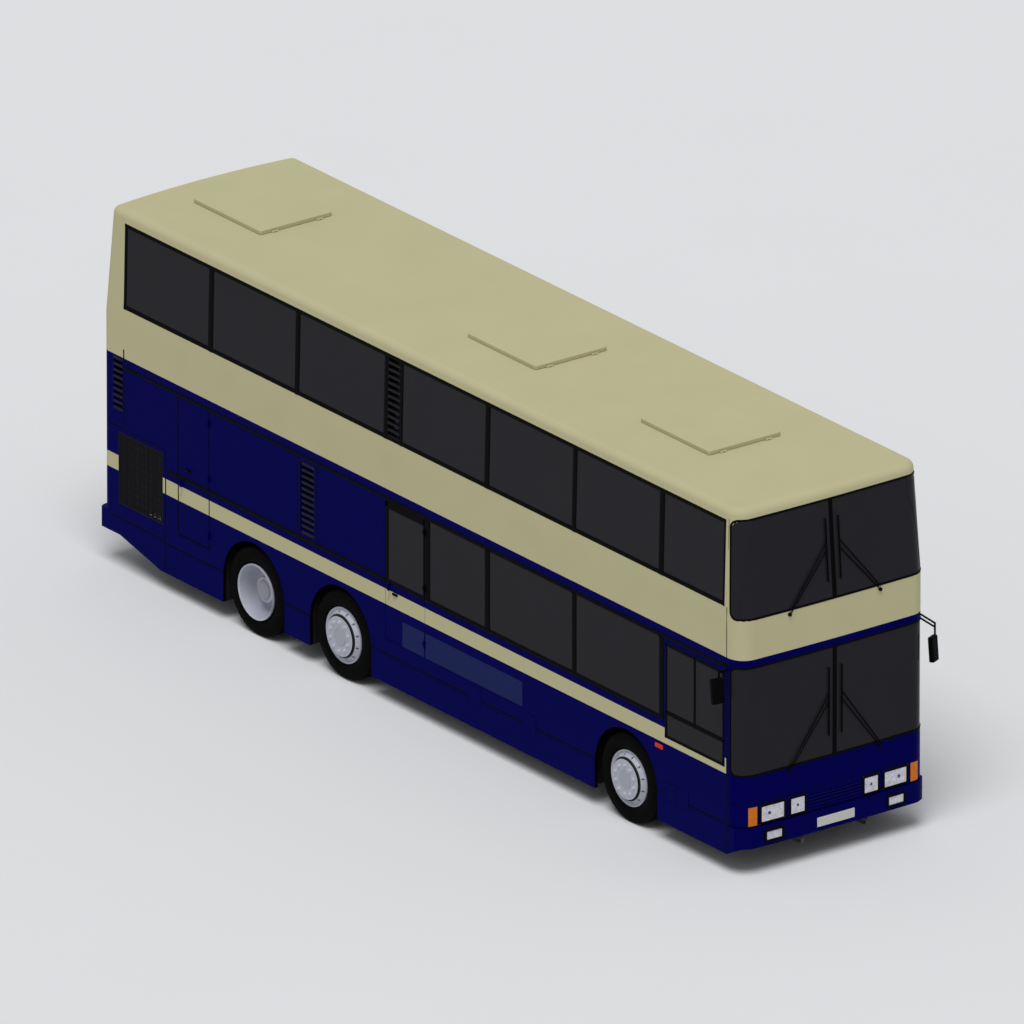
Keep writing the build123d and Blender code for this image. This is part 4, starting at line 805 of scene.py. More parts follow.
class Finish:
    """A material being put together: its tree, its shader and its place on the coach."""

    def __init__(self, name, roughness=0.4, metallic=0.0, specular=0.3, **sockets):
        self.material = bpy.data.materials.new(name)
        self.material.use_nodes = True
        self.tree = self.material.node_tree
        self.shader = self.tree.nodes["Principled BSDF"]
        self.set("Roughness", roughness)
        self.set("Metallic", metallic)
        self.set("Specular IOR Level", specular)
        for label, value in sockets.items():
            self.set(label.replace("_", " "), value)
        self.place = node(self.tree, "ShaderNodeTexCoord").outputs["Object"]
        self.axes = node(self.tree, "ShaderNodeSeparateXYZ", {0: self.place}).outputs

    def set(self, label, value):
        """Set a socket of the shader, or feed it."""
        if isinstance(value, bpy.types.NodeSocket):
            self.tree.links.new(value, self.shader.inputs[label])
        else:
            self.shader.inputs[label].default_value = value

    def group(self, name, inputs):
        """Place one of the shared groups."""
        made = node(self.tree, "ShaderNodeGroup", node_tree=groups()[name])
        for label, value in inputs.items():
            if isinstance(value, bpy.types.NodeSocket):
                self.tree.links.new(value, made.inputs[label])
            else:
                made.inputs[label].default_value = value
        return made.outputs

    def field(self, along, u, v):
        """Mask of a rectangle: u along the panel, v up it."""
        return self.group(
            "Painted field",
            {
                "Along": self.axes[along],
                "Up": self.axes["Z"],
                "Middle along": (u[0] + u[1]) / 2,
                "Half length": (u[1] - u[0]) / 2,
                "Middle up": (v[0] + v[1]) / 2,
                "Half height": (v[1] - v[0]) / 2,
            },
        )["Mask"]

    def any_of(self, masks):
        """Union of masks."""
        total = masks[0]
        for mask in masks[1:]:
            total = sum_of(self.tree, "MAXIMUM", total, mask)
        return total

    def grain(self, fine=400.0, broad=2.0):
        """Outputs of the surface grain."""
        scales = {"Fine scale": fine, "Broad scale": broad}
        return self.group("Surface grain", {"Position": self.place, **scales})

    def worn(self, scale, threshold):
        """Mask of worn or stained spots."""
        levels = {"Scale": scale, "Threshold": threshold}
        return self.group("Worn spots", {"Position": self.place, **levels})["Mask"]

    def bump(self, height, strength=0.2, distance=0.001):
        """Feed a height to the shader's normal."""
        made = node(
            self.tree, "ShaderNodeBump", {"Height": height, "Strength": strength, "Distance": distance}
        )
        self.set("Normal", made.outputs[0])

    def vary(self, colour, amount, by):
        """Colour made a little lighter and darker by a 0 to 1 value."""
        darker = tuple(c * (1 - amount) for c in colour[:3])
        lighter = tuple(min(1.0, c * (1 + amount)) for c in colour[:3])
        return blend_of(self.tree, by, darker, lighter)

    def dust(self, colour, amount, top, tint):
        """Colour under road dust."""
        mask = self.group("Road dust", {"Position": self.place, "Amount": amount, "Top": top})["Mask"]
        return blend_of(self.tree, mask, colour, tint)

    def roughness(self, low, high, by):
        """Roughness that a 0 to 1 value spreads between two levels."""
        self.set("Roughness", sum_of(self.tree, "MULTIPLY_ADD", by, high - low, low))


def plain_finish(
    name, colour, roughness, amount=0.12, fine=300.0, broad=6.0, bump=0.15, dust=0.0, worn=None, **more
):
    """Moulded, cast or painted finish with grain, and with dust and wear where they are asked for."""
    finish = Finish(name, **more)
    grain = finish.grain(fine, broad)
    shade = finish.vary(colour, amount, grain["Broad"])
    if worn:
        shade = blend_of(finish.tree, finish.worn(*worn[1:]), shade, worn[0])
    if dust:
        shade = finish.dust(shade, dust, 1.3, bpy.context.scene.coach_paint.dust)
    finish.set("Base Color", shade)
    finish.roughness(max(0.02, roughness - 0.06), min(1.0, roughness + 0.08), grain["Broad"])
    finish.bump(grain["Fine"], bump, 0.0006)
    return finish.material


def reveal_mask(finish):
    """Mask of what lies behind the skin of a side: window reveals, arch edges and inner faces."""
    rise = sum_of(finish.tree, "SUBTRACT", finish.axes["Z"], LEAN_Z)
    rise = sum_of(finish.tree, "MAXIMUM", rise, 0.0)
    lean = sum_of(finish.tree, "MULTIPLY", rise, SIDE_LEAN / (ROOF_Z - LEAN_Z))
    wide = sum_of(finish.tree, "ADD", sum_of(finish.tree, "ABSOLUTE", finish.axes["X"]), lean)
    inner = sum_of(finish.tree, "LESS_THAN", wide, SIDE_X - 0.0025)
    below = sum_of(finish.tree, "LESS_THAN", finish.axes["Z"], UPPER_Z[1] + 0.002)
    return sum_of(finish.tree, "MULTIPLY", inner, below)


def coach_paint(
    name, along, base, cream=(), black=(), seams=(), frames=(), fittings=False, reveals=False
):
    """Sprayed panels: base colour, painted fields, dark seams, dust and faint orange peel."""
    paint = bpy.context.scene.coach_paint
    finish = Finish(name, specular=paint.paint_gloss)
    finish.set("Coat Weight", paint.coat)
    finish.set("Coat Roughness", 0.12)
    grain = finish.grain(900.0, 1.4)
    shade = finish.vary(base, 0.05, grain["Broad"])
    for fields, colour in ((cream, paint.cream), (black, paint.black)):
        if fields:
            mask = finish.any_of([finish.field(along, u, v) for u, v in fields])
            shade = blend_of(finish.tree, mask, shade, colour)
    lines = [finish.field(along, u, v) for u, v in seams]
    width = bpy.context.scene.coach_sizes.seam_width
    for u, v in frames:
        outer = finish.field(along, u, v)
        inner = finish.field(along, (u[0] + width, u[1] - width), (v[0] + width, v[1] - width))
        lines.append(sum_of(finish.tree, "SUBTRACT", outer, inner))
    shade = finish.dust(shade, paint.dust_amount, 1.1, paint.dust)
    peel = sum_of(finish.tree, "MULTIPLY", grain["Fine"], 0.04)
    plain = shade
    if lines:
        line = finish.any_of(lines)
        shade = blend_of(finish.tree, line, shade, paint.black)
        peel = sum_of(finish.tree, "SUBTRACT", peel, line)
    if fittings or reveals:
        wide = sum_of(finish.tree, "ABSOLUTE", finish.axes["X"])
        proud = sum_of(finish.tree, "GREATER_THAN", wide, SIDE_X + 0.0012)
        shade = blend_of(finish.tree, proud, shade, paint.black if fittings else plain)
    if reveals:
        shade = blend_of(finish.tree, reveal_mask(finish), shade, paint.black)
    finish.set("Base Color", shade)
    finish.roughness(0.3, 0.42, grain["Broad"])
    finish.bump(peel, 0.35, 0.001)
    return finish.material


def finish_nodes(material, *names):
    """Give CAD nodes a material."""
    for name in names:
        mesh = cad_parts[name].data
        mesh.materials.clear()
        mesh.materials.append(material)


def finish_once(name, make):
    """Material by name, made the first time it is asked for."""
    return bpy.data.materials.get(name) or make()


def black_rubber():
    """Rubber of the glazing, seams and mouldings."""
    name, black = "Black rubber", bpy.context.scene.coach_paint.black
    return finish_once(name, lambda: plain_finish(name, black, 0.6, bump=0.25, specular=0.03))


def blue_sheet():
    """Plain blue coachwork for the small panels."""
    name, blue = "Blue panel paint", bpy.context.scene.coach_paint.blue
    return finish_once(name, lambda: coach_paint(name, "Y", blue))


# ---------------------------------------------------------------- sizes and colours
def length(name, description, default, low=0.0, high=1.0):
    """Length property in metres."""
    return bpy.props.FloatProperty(
        name=name,
        description=description,
        default=default,
        min=low,
        max=high,
        unit="LENGTH",
        subtype="DISTANCE",
    )


def colour(name, description, default):
    """Colour property."""
    return bpy.props.FloatVectorProperty(
        name=name, description=description, default=default, size=3, min=0.0, max=1.0, subtype="COLOR"
    )


def count(name, description, default, low, high):
    """Number of like pieces."""
    return bpy.props.IntProperty(
        name=name, description=description, default=default, min=low, max=high
    )


def angle(name, description, default):
    """Angle property in radians."""
    return bpy.props.FloatProperty(
        name=name, description=description, default=default, subtype="ANGLE"
    )


def share(name, description, default, high=1.0):
    """Property from nothing to a highest share."""
    return bpy.props.FloatProperty(
        name=name, description=description, default=default, min=0.0, max=high, subtype="FACTOR"
    )


class CoachPaint(bpy.types.PropertyGroup):
    """Colours and gloss of the coach."""

    blue: colour("Blue", "Lower coachwork", tone(1, 1, 80))
    cream: colour("Cream", "Upper coachwork and side stripe", tone(190, 185, 147))
    black: colour("Black", "Rubber, window surrounds and seams", tone(5, 5, 6))
    glass: colour("Glass tint", "Tinted glazing", tone(37, 36, 41))
    amber: colour("Amber", "Front indicators", tone(205, 112, 12))
    marker: colour("Marker red", "Side markers and tail lamps", tone(205, 52, 16))
    silver: colour("Silver", "Wheel rims and discs", tone(178, 180, 192))
    chassis: colour("Chassis grey", "Frame, axles and springs", tone(44, 44, 46))
    cloth: colour("Cushion cloth", "Cloth of the cushions", tone(52, 62, 108))
    floor: colour("Floor", "Saloon floor covering", tone(88, 86, 82))
    dust: colour("Road dust", "Dust on the lower panels", tone(88, 84, 78))
    dust_amount: share("Dust amount", "How much road dust lies on the paint", 0.02)
    paint_gloss: share("Paint gloss", "Mirror-like share of the paint", 0.01)
    coat: share("Lacquer", "Clear lacquer over the paint", 0.005)


class CoachSizes(bpy.types.PropertyGroup):
    """Sizes of the trim, wheels and seats."""

    gasket_width: length("Gasket width", "Rubber round the entrance door's glass", 0.030)
    gasket_rise: length("Gasket rise", "How far the rubber stands out of the skin", 0.005)
    screen_gasket: length("Screen gasket width", "Rubber round the screens", 0.024)
    bead_rise: length("Bead rise", "How far the side beads stand out", 0.006)
    seam_width: length("Seam width", "Width of the joints round small flaps", 0.013)
    plate_width: length("Plate width", "Registration plate", 0.495)
    plate_height: length("Plate height", "Registration plate", 0.105)
    nut_size: length("Nut size", "Across the corners of a wheel nut", 0.032)
    nut_ring: length("Nut ring", "Radius of the ring of wheel nuts", 0.164)
    hole_ring: length("Hole ring", "Radius of the ring of holes in a wheel disc", 0.262)
    hole_size: length("Hole size", "Radius of a hole in a wheel disc", 0.014)
    seat_width: length("Double seat width", "Side to side of a double seat", 0.89)
    seat_depth: length("Cushion depth", "Front to back of the cushion", 0.43)
    seat_height: length("Cushion height", "Floor to the top of the cushion", 0.43)
    back_height: length("Back height", "Seat back above the cushion", 0.56)
    nuts: count("Wheel nuts", "Nuts in a wheel", 10, 3, 20)
    holes: count("Disc holes", "Holes in a wheel disc", 12, 0, 40)


class CoachStage(bpy.types.PropertyGroup):
    """Camera, floor and lamps."""

    lens: bpy.props.FloatProperty(
        name="Lens", description="Focal length", default=1680, min=20, max=1700, unit="CAMERA"
    )
    width: length("View width", "Width that the view takes in at the coach", 10.919, 1, 40)
    azimuth: angle("Azimuth", "Camera round from the front", -math.atan2(3, 4))
    elevation: angle("Elevation", "Camera above the horizon", math.atan2(2, 5))
    aim: bpy.props.FloatVectorProperty(
        name="Aim",
        description="Place that the camera looks at",
        default=(0.0029, -0.0266, 2.0712),
        unit="LENGTH",
        subtype="XYZ",
    )
    sky: share("Sky", "Strength of the even light from all round", 0.36, 4.0)
    sun: bpy.props.FloatProperty(
        name="Key lamp", description="Strength of the soft overhead lamp", default=1.95, min=0, max=20
    )
    pale: colour("Backdrop", "Colour of the floor and backdrop", (0.78, 0.79, 0.81))


# ---------------------------------------------------------------- operators
class CoachOperator:
    """Base of the coach's operators."""

    bl_options = {"REGISTER", "UNDO"}

    def execute(self, context):
        self.make(context.scene.coach_sizes, context.scene.coach_paint)
        return {"FINISHED"}


class COACH_OT_stage(CoachOperator, bpy.types.Operator):
    """Set up the camera, the pale floor and backdrop and the soft lamps"""

    bl_idname = "coach.stage"
    bl_label = "Stage"

    def execute(self, context):
        stage, scene = context.scene.coach_stage, context.scene
        flat = math.cos(stage.elevation)
        back = Vector(
            (math.sin(stage.azimuth) * flat, -math.cos(stage.azimuth) * flat, math.sin(stage.elevation))
        )
        lens = bpy.data.cameras.new("Camera")
        lens.lens, lens.sensor_width = stage.lens, 36
        camera = bpy.data.objects.new("Camera", lens)
        distance = stage.width * stage.lens / lens.sensor_width
        lens.clip_start, lens.clip_end = distance / 100, distance * 2
        camera.location = Vector(stage.aim) + back * distance
        camera.rotation_mode = "QUATERNION"
        camera.rotation_quaternion = (-back).to_track_quat("-Z", "Y")
        scene.collection.objects.link(camera)
        scene.camera = camera

        lamp = bpy.data.lights.new("Key", "SUN")
        lamp.energy, lamp.angle = stage.sun, math.radians(LAMP_SPREAD)
        key = bpy.data.objects.new("Key", lamp)
        key.rotation_mode = "QUATERNION"
        key.rotation_quaternion = Vector(LAMP_DIRECTION).to_track_quat("-Z", "Y")
        scene.collection.objects.link(key)

        floor = bpy.data.meshes.new("Floor")
        corners = [(-1, -1), (1, -1), (1, 1), (-1, 1)]
        corners = [(x * BACKDROP_HALF, y * BACKDROP_HALF, 0) for x, y in corners]
        floor.from_pydata(corners, [], [(0, 1, 2, 3)])
        ground = bpy.data.objects.new("Floor", floor)
        scene.collection.objects.link(ground)
        surface = Finish("Stage floor", roughness=0.9, specular=0.0)
        grain = surface.grain(60.0, 0.4)
        surface.set("Base Color", surface.vary(tuple(stage.pale), 0.01, grain["Broad"]))
        floor.materials.append(surface.material)

        world = bpy.data.worlds.new("Studio")
        scene.world = world
        world.use_nodes = True
        tree = world.node_tree
        light = tree.nodes["Background"]
        light.inputs["Color"].default_value = (1, 1, 1, 1)
        light.inputs["Strength"].default_value = stage.sky
        seen = node(tree, "ShaderNodeBackground", {"Color": (*stage.pale, 1), "Strength": 1.0})
        path = node(tree, "ShaderNodeLightPath").outputs
        looks = sum_of(tree, "MAXIMUM", path["Is Camera Ray"], path["Is Glossy Ray"])
        looks = sum_of(tree, "MAXIMUM", looks, path["Is Transmission Ray"])
        both = node(tree, "ShaderNodeMixShader", {0: looks, 1: light.outputs[0], 2: seen.outputs[0]})
        tree.links.new(both.outputs[0], tree.nodes["World Output"].inputs["Surface"])
        scene.view_settings.view_transform = "Standard"
        return {"FINISHED"}


class COACH_OT_coachwork(CoachOperator, bpy.types.Operator):
    """Paint the sides, ends, roof, doors, lids and bumpers"""

    bl_idname = "coach.coachwork"
    bl_label = "Coachwork"

    def make(self, sizes, paint):
        tail, vent = behind(TAIL_JOINT), behind(TAIL_VENT_JOINT)
        skirt = ((behind(0), tail), SKIRT_JOINT_Z)
        locker = (LOCKER_Y[0] - 0.013, LOCKER_Y[1] + 0.003)
        side_seams = [
            skirt,
            ((tail, REAR_SEAM_Y), TAIL_SKIRT_JOINT_Z),
            ((tail - HALF_JOINT, tail + HALF_JOINT), (SKIRT_Z, TAIL_JOINT_Z)),
            ((tail - HALF_JOINT, REAR_SEAM_Y), (TAIL_JOINT_Z - 0.017, TAIL_JOINT_Z - 0.001)),
            ((vent - HALF_JOINT, vent + HALF_JOINT), (TAIL_JOINT_Z, WAIST_Z)),
        ]
        for start, end in BAY_JOINTS:
            side_seams.append(((behind(start), behind(end)), (BAY_JOINT_FOOT_Z, LOWER_TOP_Z)))
        side_seams += [
            ((locker[0], LOCKER_Y[0] + 0.004), (LOCKER_FOOT_Z, LOWER_TOP_Z)),
            ((LOCKER_Y[1] - 0.015, locker[1]), (LOCKER_FOOT_Z, LOWER_TOP_Z)),
            (locker, (LOCKER_FOOT_Z - 0.015, LOCKER_FOOT_Z + 0.005)),
        ]
        flaps = [((behind(start), behind(end)), FLAP_JOINT_Z) for start, end in FLAP_JOINTS]
        window_black = [((behind(LOWER_POSTS[0][0]), behind(DOOR_POST[1])), (1.400, LOWER_TOP_Z))]
        stripe = [
            ((behind(STRIPE_START), REAR_SEAM_Y + 0.01), STRIPE_Z),
            ((SEAM_Y, behind(STRIPE_START)), CAB_STRIPE_Z),
            ((SEAM_Y, behind(0.03)), STRIPE_Z),
        ]
        # the flaps by the front wheel are on the offside only
        for hand, frames, doors in (
            ("right", flaps, ["locker_door"]),
            ("left", flaps[:2], ["entrance_door"]),
        ):
            material = coach_paint(
                f"Lower {hand} side paint",
                "Y",
                paint.blue,
                stripe,
                window_black,
                side_seams,
                frames,
                fittings=hand == "left",
                reveals=True,
            )
            finish_nodes(material, f"{hand}_lower_side", *doors)
        front_edge = EMERGENCY_Y[0]
        door = coach_paint(
            "Emergency door paint",
            "Y",
            paint.blue,
            stripe,
            [
                (EMERGENCY_Y, (2.245, LOWER_TOP_Z)),
                ((front_edge - 0.03, front_edge + 0.03), (1.40, LOWER_TOP_Z)),
            ],
            [skirt],
            reveals=True,
        )
        finish_nodes(door, "emergency_door")
        upper = coach_paint(
            "Upper side paint",
            "Y",
            paint.cream,
            (),
            [((UPPER_ROW[0][0], UPPER_ROW[-1][1]), (UPPER_Z[0] - 0.004, UPPER_Z[1] + 0.004))],
            [((vent - HALF_JOINT, vent + HALF_JOINT), (WAIST_Z, WAIST_Z + 0.10))],
            reveals=True,
        )
        finish_nodes(upper, "right_upper_side", "left_upper_side")
        roof = coach_paint("Roof paint", "Y", paint.cream)
        finish_nodes(roof, "roof_panel", "front_hatch", "middle_hatch", "rear_hatch")
        wide = (-1.3, 1.3)
        joints = [(wide, z) for z in NOSE_JOINTS_Z] + [(x, NOSE_PANEL_Z) for x in NOSE_PANEL_X]
        pillar = [(SCREEN_PILLAR, LOWER_SCREEN_Z)]
        front = coach_paint("Front paint", "X", paint.blue, [], pillar, joints)
        finish_nodes(front, "front_lower_panel")
        pillar = [(SCREEN_PILLAR, UPPER_SCREEN_Z)]
        upper_front = coach_paint("Upper front paint", "X", paint.cream, [], pillar)
        finish_nodes(upper_front, "front_upper_panel")
        stripe, joint = [(wide, STRIPE_Z)], [(wide, LID_JOINT_Z)]
        rear = coach_paint("Rear paint", "X", paint.blue, stripe, [], joint)
        finish_nodes(rear, "rear_lower_panel")
        lid = coach_paint("Engine lid paint", "X", paint.blue, stripe)
        finish_nodes(lid, "engine_lid")
        upper_rear = coach_paint("Upper rear paint", "X", paint.cream)
        finish_nodes(upper_rear, "rear_upper_panel")
        finish_nodes(coach_paint("Bumper paint", "X", paint.blue), "bumpers")


class COACH_OT_glazing(CoachOperator, bpy.types.Operator):
    """Tint the glass and fit the rubber round every window and screen"""

    bl_idname = "coach.glazing"
    bl_label = "Glazing"

    def make(self, sizes, paint):
        glass = Finish("Tinted glass", roughness=0.06, specular=0.05, IOR=1.45, Transmission_Weight=0.06)
        grain = glass.grain(30.0, 0.8)
        shade = glass.vary(tuple(paint.glass), 0.08, grain["Broad"])
        glass.set("Base Color", glass.dust(shade, 0.02, 3.5, paint.dust))
        glass.roughness(0.05, 0.10, grain["Broad"])
        glass.bump(grain["Fine"], 0.015, 0.0004)
        finish_nodes(glass.material, "side_glass", "screens")
        finish_nodes(glass.material, "emergency_door_glass", "entrance_door_glass")

        rubber = black_rubber()
        side_rubber = Shape()
        for side in HANDS:
            self.surrounds(side_rubber, side)
        side_rubber.piece("side_window_rubber", "body", "black_trim", [rubber])
        rails = Shape()
        for side in HANDS:
            rails.band(side, (behind(0.002), behind(10.724)), CREAM_RAIL_Z, 0.002)
            post_z = (UPPER_BANDS[0][1] - 0.05, CREAM_RAIL_Z[0])
            rails.band(side, (behind(0.004), behind(0.043)), post_z, 0.002)
        rails.piece("window_rails", "body", "cream_paint", [bpy.data.materials["Roof paint"]])

        thin = bead_section(sizes.screen_gasket, sizes.gasket_rise, 0.008)
        screen_rubber, inset = Shape(), sizes.screen_gasket / 2 - 0.003
        for side in HANDS:
            for z in (LOWER_SCREEN_Z, UPPER_SCREEN_Z):
                screen_rubber.sweep(self.screen_loop(side, z, inset), thin, closed=True)
        half, z = REAR_WINDOW
        line = []
        for x, level in rounded_loop((-half, half), z, 0.08):
            line.append(end_place(REAR, 1 if x >= 0 else -1, abs(x), level))
        section = bead_section(0.035, sizes.gasket_rise, 0.008)
        screen_rubber.sweep(self.subdivided(line), section, closed=True)
        screen_rubber.piece("screen_rubber", "body", "black_trim", [rubber])
        wings = Shape()
        for side in HANDS:
            wings.slab(self.wing(side, UPPER_SCREEN_Z), 0.0015, 0.004)
        wings.piece("screen_wings", "body", "tinted_glass", [glass.material], angle=60)

        ring = Shape()
        front, back = EMERGENCY_Y
        foot, top = LOWER_BANDS[0][1], LOWER_BANDS[1][1] - 0.002
        for y, z in (
            ((front + 0.002, front + 0.026), (foot, top)),
            ((back - 0.049, back - 0.002), (foot, top)),
            ((front + 0.003, back - 0.003), (EMERGENCY_GLASS_TOP_Z - 0.008, top)),
            ((front + 0.003, back - 0.003), LOWER_BANDS[0]),
        ):
            ring.band(-1, y, z)
        ring.piece("emergency_door_rubber", "emergency_door", "black_trim", [rubber])

        y, z = (ENTRANCE_Y[0] + 0.09, ENTRANCE_Y[1] - 0.09), DOOR_GLASS_Z
        section = bead_section(sizes.gasket_width, sizes.gasket_rise, 0.010)
        ring = Shape()
        ring.sweep(self.loop(1, y, z, sizes.gasket_width / 2 - 0.004), section, closed=True)
        middle = (y[0] + y[1]) / 2
        ring.band(1, (middle - 0.015, middle + 0.015), (z[0] + 0.02, z[1] - 0.02))
        ring.piece("entrance_door_rubber", "entrance_door", "black_trim", [rubber])

    def surrounds(self, shape, side):
        """Black bands and posts round the windows of one side."""
        for start, end in UPPER_POSTS:
            shape.band(side, (behind(start), behind(end)), (UPPER_BANDS[0][0], UPPER_BANDS[1][1]))
        for z in UPPER_BANDS:
            shape.band(side, (behind(UPPER_POSTS[0][0]), behind(UPPER_POSTS[-1][1])), z)
        low, high = LOWER_BANDS[0][1] - 0.02, LOWER_BANDS[1][0] + 0.01
        for start, end in LOWER_POSTS + (DOOR_POST,):
            shape.band(side, (behind(start), behind(end)), (low, high))
        shape.band(side, (behind(LOWER_POSTS[0][0]), behind(DOOR_POST[1])), LOWER_BANDS[1])
        if side > 0:
            shape.band(side, (behind(DOOR_POST[1]), behind(KERB_POST[1])), LOWER_BANDS[1])
            shape.band(side, (behind(KERB_POST[0]), behind(KERB_POST[1])), (low, high))
            return
        for start, end, foot in CAB_POSTS:
            shape.band(side, (behind(start), behind(end)), (foot, CAB_POST_TOP_Z))
        for z in CAB_BANDS:
            shape.band(side, (behind(CAB_POSTS[0][0]), behind(CAB_POSTS[-1][1])), z)

    def loop(self, side, y, z, inset):
        """Rounded window outline on a side wall, moved in by inset."""
        shape = rounded_loop(
            (y[0] + inset, y[1] - inset), (z[0] + inset, z[1] - inset), max(0.012, WINDOW_RADIUS - inset)
        )
        return [side_place(side, u, v) for u, v in shape]

    def subdivided(self, line, steps=10):
        """Rear window outline with its long runs following the bowed panel."""
        made = []
        for i, (place, away) in enumerate(line):
            made.append((place, away))
            following = line[(i + 1) % len(line)][0]
            if (following - place).length > 0.4:
                for n in range(1, steps):
                    at = place.lerp(following, n / steps)
                    made.append(end_place(REAR, 1 if at.x >= 0 else -1, abs(at.x), at.z))
        return made

    def edge_y(self, z):
        """Y of the side edge of a screen, which runs back to the joint as the upper deck leans."""
        return SCREEN_EDGE_Y + SCREEN_SWEEP * max(0.0, (z - LEAN_Z) / (UPPER_SCREEN_Z[1] - LEAN_Z))

    def wing(self, side, z, rows=16, columns=6):
        """Rows of places from inside the edge of a screen out to its rounded edge."""
        made = []
        for n in range(rows + 1):
            level = z[0] + 0.006 + (z[1] - z[0] - 0.012) * n / rows
            short = max(0.0, SCREEN_RADIUS - min(level - z[0], z[1] - level))
            reach = math.sqrt(SCREEN_RADIUS**2 - short**2)
            start = distance_to(FRONT, SCREEN_EDGE_Y - SCREEN_RADIUS - 0.02, level)
            end = distance_to(FRONT, self.edge_y(level) - SCREEN_RADIUS + reach - 0.004, level)
            steps = [start + (end - start) * k / columns for k in range(columns + 1)]
            made.append([end_place(FRONT, side, step, level) for step in steps])
        return made

    def screen_loop(self, side, z, inset, steps=18):
        """Outline of half a wrap-round screen, moved in by inset."""
        radius = SCREEN_RADIUS - inset
        line = []
        for level, low in ((z[0] + inset, True), (z[1] - inset, False)):
            centre_y = self.edge_y(level) - SCREEN_RADIUS
            start, end = SCREEN_RUBBER_START, distance_to(FRONT, centre_y, level)
            stops = [start + (end - start) * n / steps for n in range(steps + 1)]
            run = [end_place(FRONT, side, stop, level) for stop in stops]
            arc = []
            for n in range(1, 7):
                angle = math.radians(15 * n)
                height = SCREEN_RADIUS - radius * math.cos(angle)
                height = z[0] + height if low else z[1] - height
                y = self.edge_y(height) - SCREEN_RADIUS + radius * math.sin(angle)
                arc.append(end_place(FRONT, side, distance_to(FRONT, y, height), height))
            line += run + arc if low else arc[::-1] + run[::-1]
        return line


class COACH_OT_beads(CoachOperator, bpy.types.Operator):
    """Fit the black beads along the sides, the corner joints and the small raised panels"""

    bl_idname = "coach.beads"
    bl_label = "Beads and joints"

    def make(self, sizes, paint):
        rubber = black_rubber()
        waist = bead_section(0.036, sizes.bead_rise)
        sill = bead_section(LOWER_BANDS[0][1] - LOWER_BANDS[0][0], sizes.bead_rise)
        trim = Shape()
        for side in HANDS:
            trim.sweep(self.run(side, behind(WAIST_BEAD[0]), behind(WAIST_BEAD[1]), WAIST_BEAD_Z), waist)
            for start, end in SILL_BEADS[side]:
                trim.sweep(self.run(side, behind(start), behind(end), SILL_BEAD_Z), sill)
        trim.piece("side_beads", "body", "black_trim", [rubber])
        for body, y in (("emergency_door", EMERGENCY_Y), ("locker_door", LOCKER_Y)):
            bead = Shape()
            if body == "locker_door":
                bead.sweep(self.run(-1, y[0] + 0.003, y[1] - 0.003, SILL_BEAD_Z), sill)
            middle, z = y[1] - LEVER["inset"], LEVER_Z[body]
            half, rise = LEVER["half"], LEVER["height"] / 2
            bead.block(
                (-SIDE_X - LEVER["proud"], middle - half, z - rise),
                (-SIDE_X + 0.004, middle + half, z + rise),
            )
            bead.piece(f"{body}_bead", body, "black_trim", [rubber], bevel=0.002)

        joints = Shape()
        thin = bead_section(0.012, 0.0015)
        for side in HANDS:
            levels = [0.22] + [0.5 + 0.25 * n for n in range(11)] + [UPPER_BANDS[0][0]]
            joints.sweep([side_place(side, SEAM_Y, z) for z in levels], thin)
        joints.piece("corner_joints", "body", "black_trim", [rubber])

        flaps = Shape()
        for start, end in FLAPS:
            flaps.block(
                (-SIDE_X - 0.0025, behind(start), FLAP_Z[0]), (-SIDE_X + 0.004, behind(end), FLAP_Z[1])
            )
        flaps.piece("skirt_flaps", "body", "blue_paint", [blue_sheet()], bevel=0.0015)

        board_paint = coach_paint("Board paint", "Y", tone(32, 41, 88))
        for body, name in (("body", "side_panel_board"), ("emergency_door", "door_panel_board")):
            board = Shape()
            board.block(
                (-SIDE_X - 0.002, behind(BOARDS[body][0]), BOARD_Z[0]),
                (-SIDE_X + 0.004, behind(BOARDS[body][1]), BOARD_Z[1]),
            )
            board.piece(name, body, "blue_paint", [board_paint], bevel=0.001)

    def run(self, side, start, end, z, pitch=0.5):
        """Level line along a side wall."""
        steps = max(1, round((end - start) / pitch))
        return [side_place(side, start + (end - start) * n / steps, z) for n in range(steps + 1)]


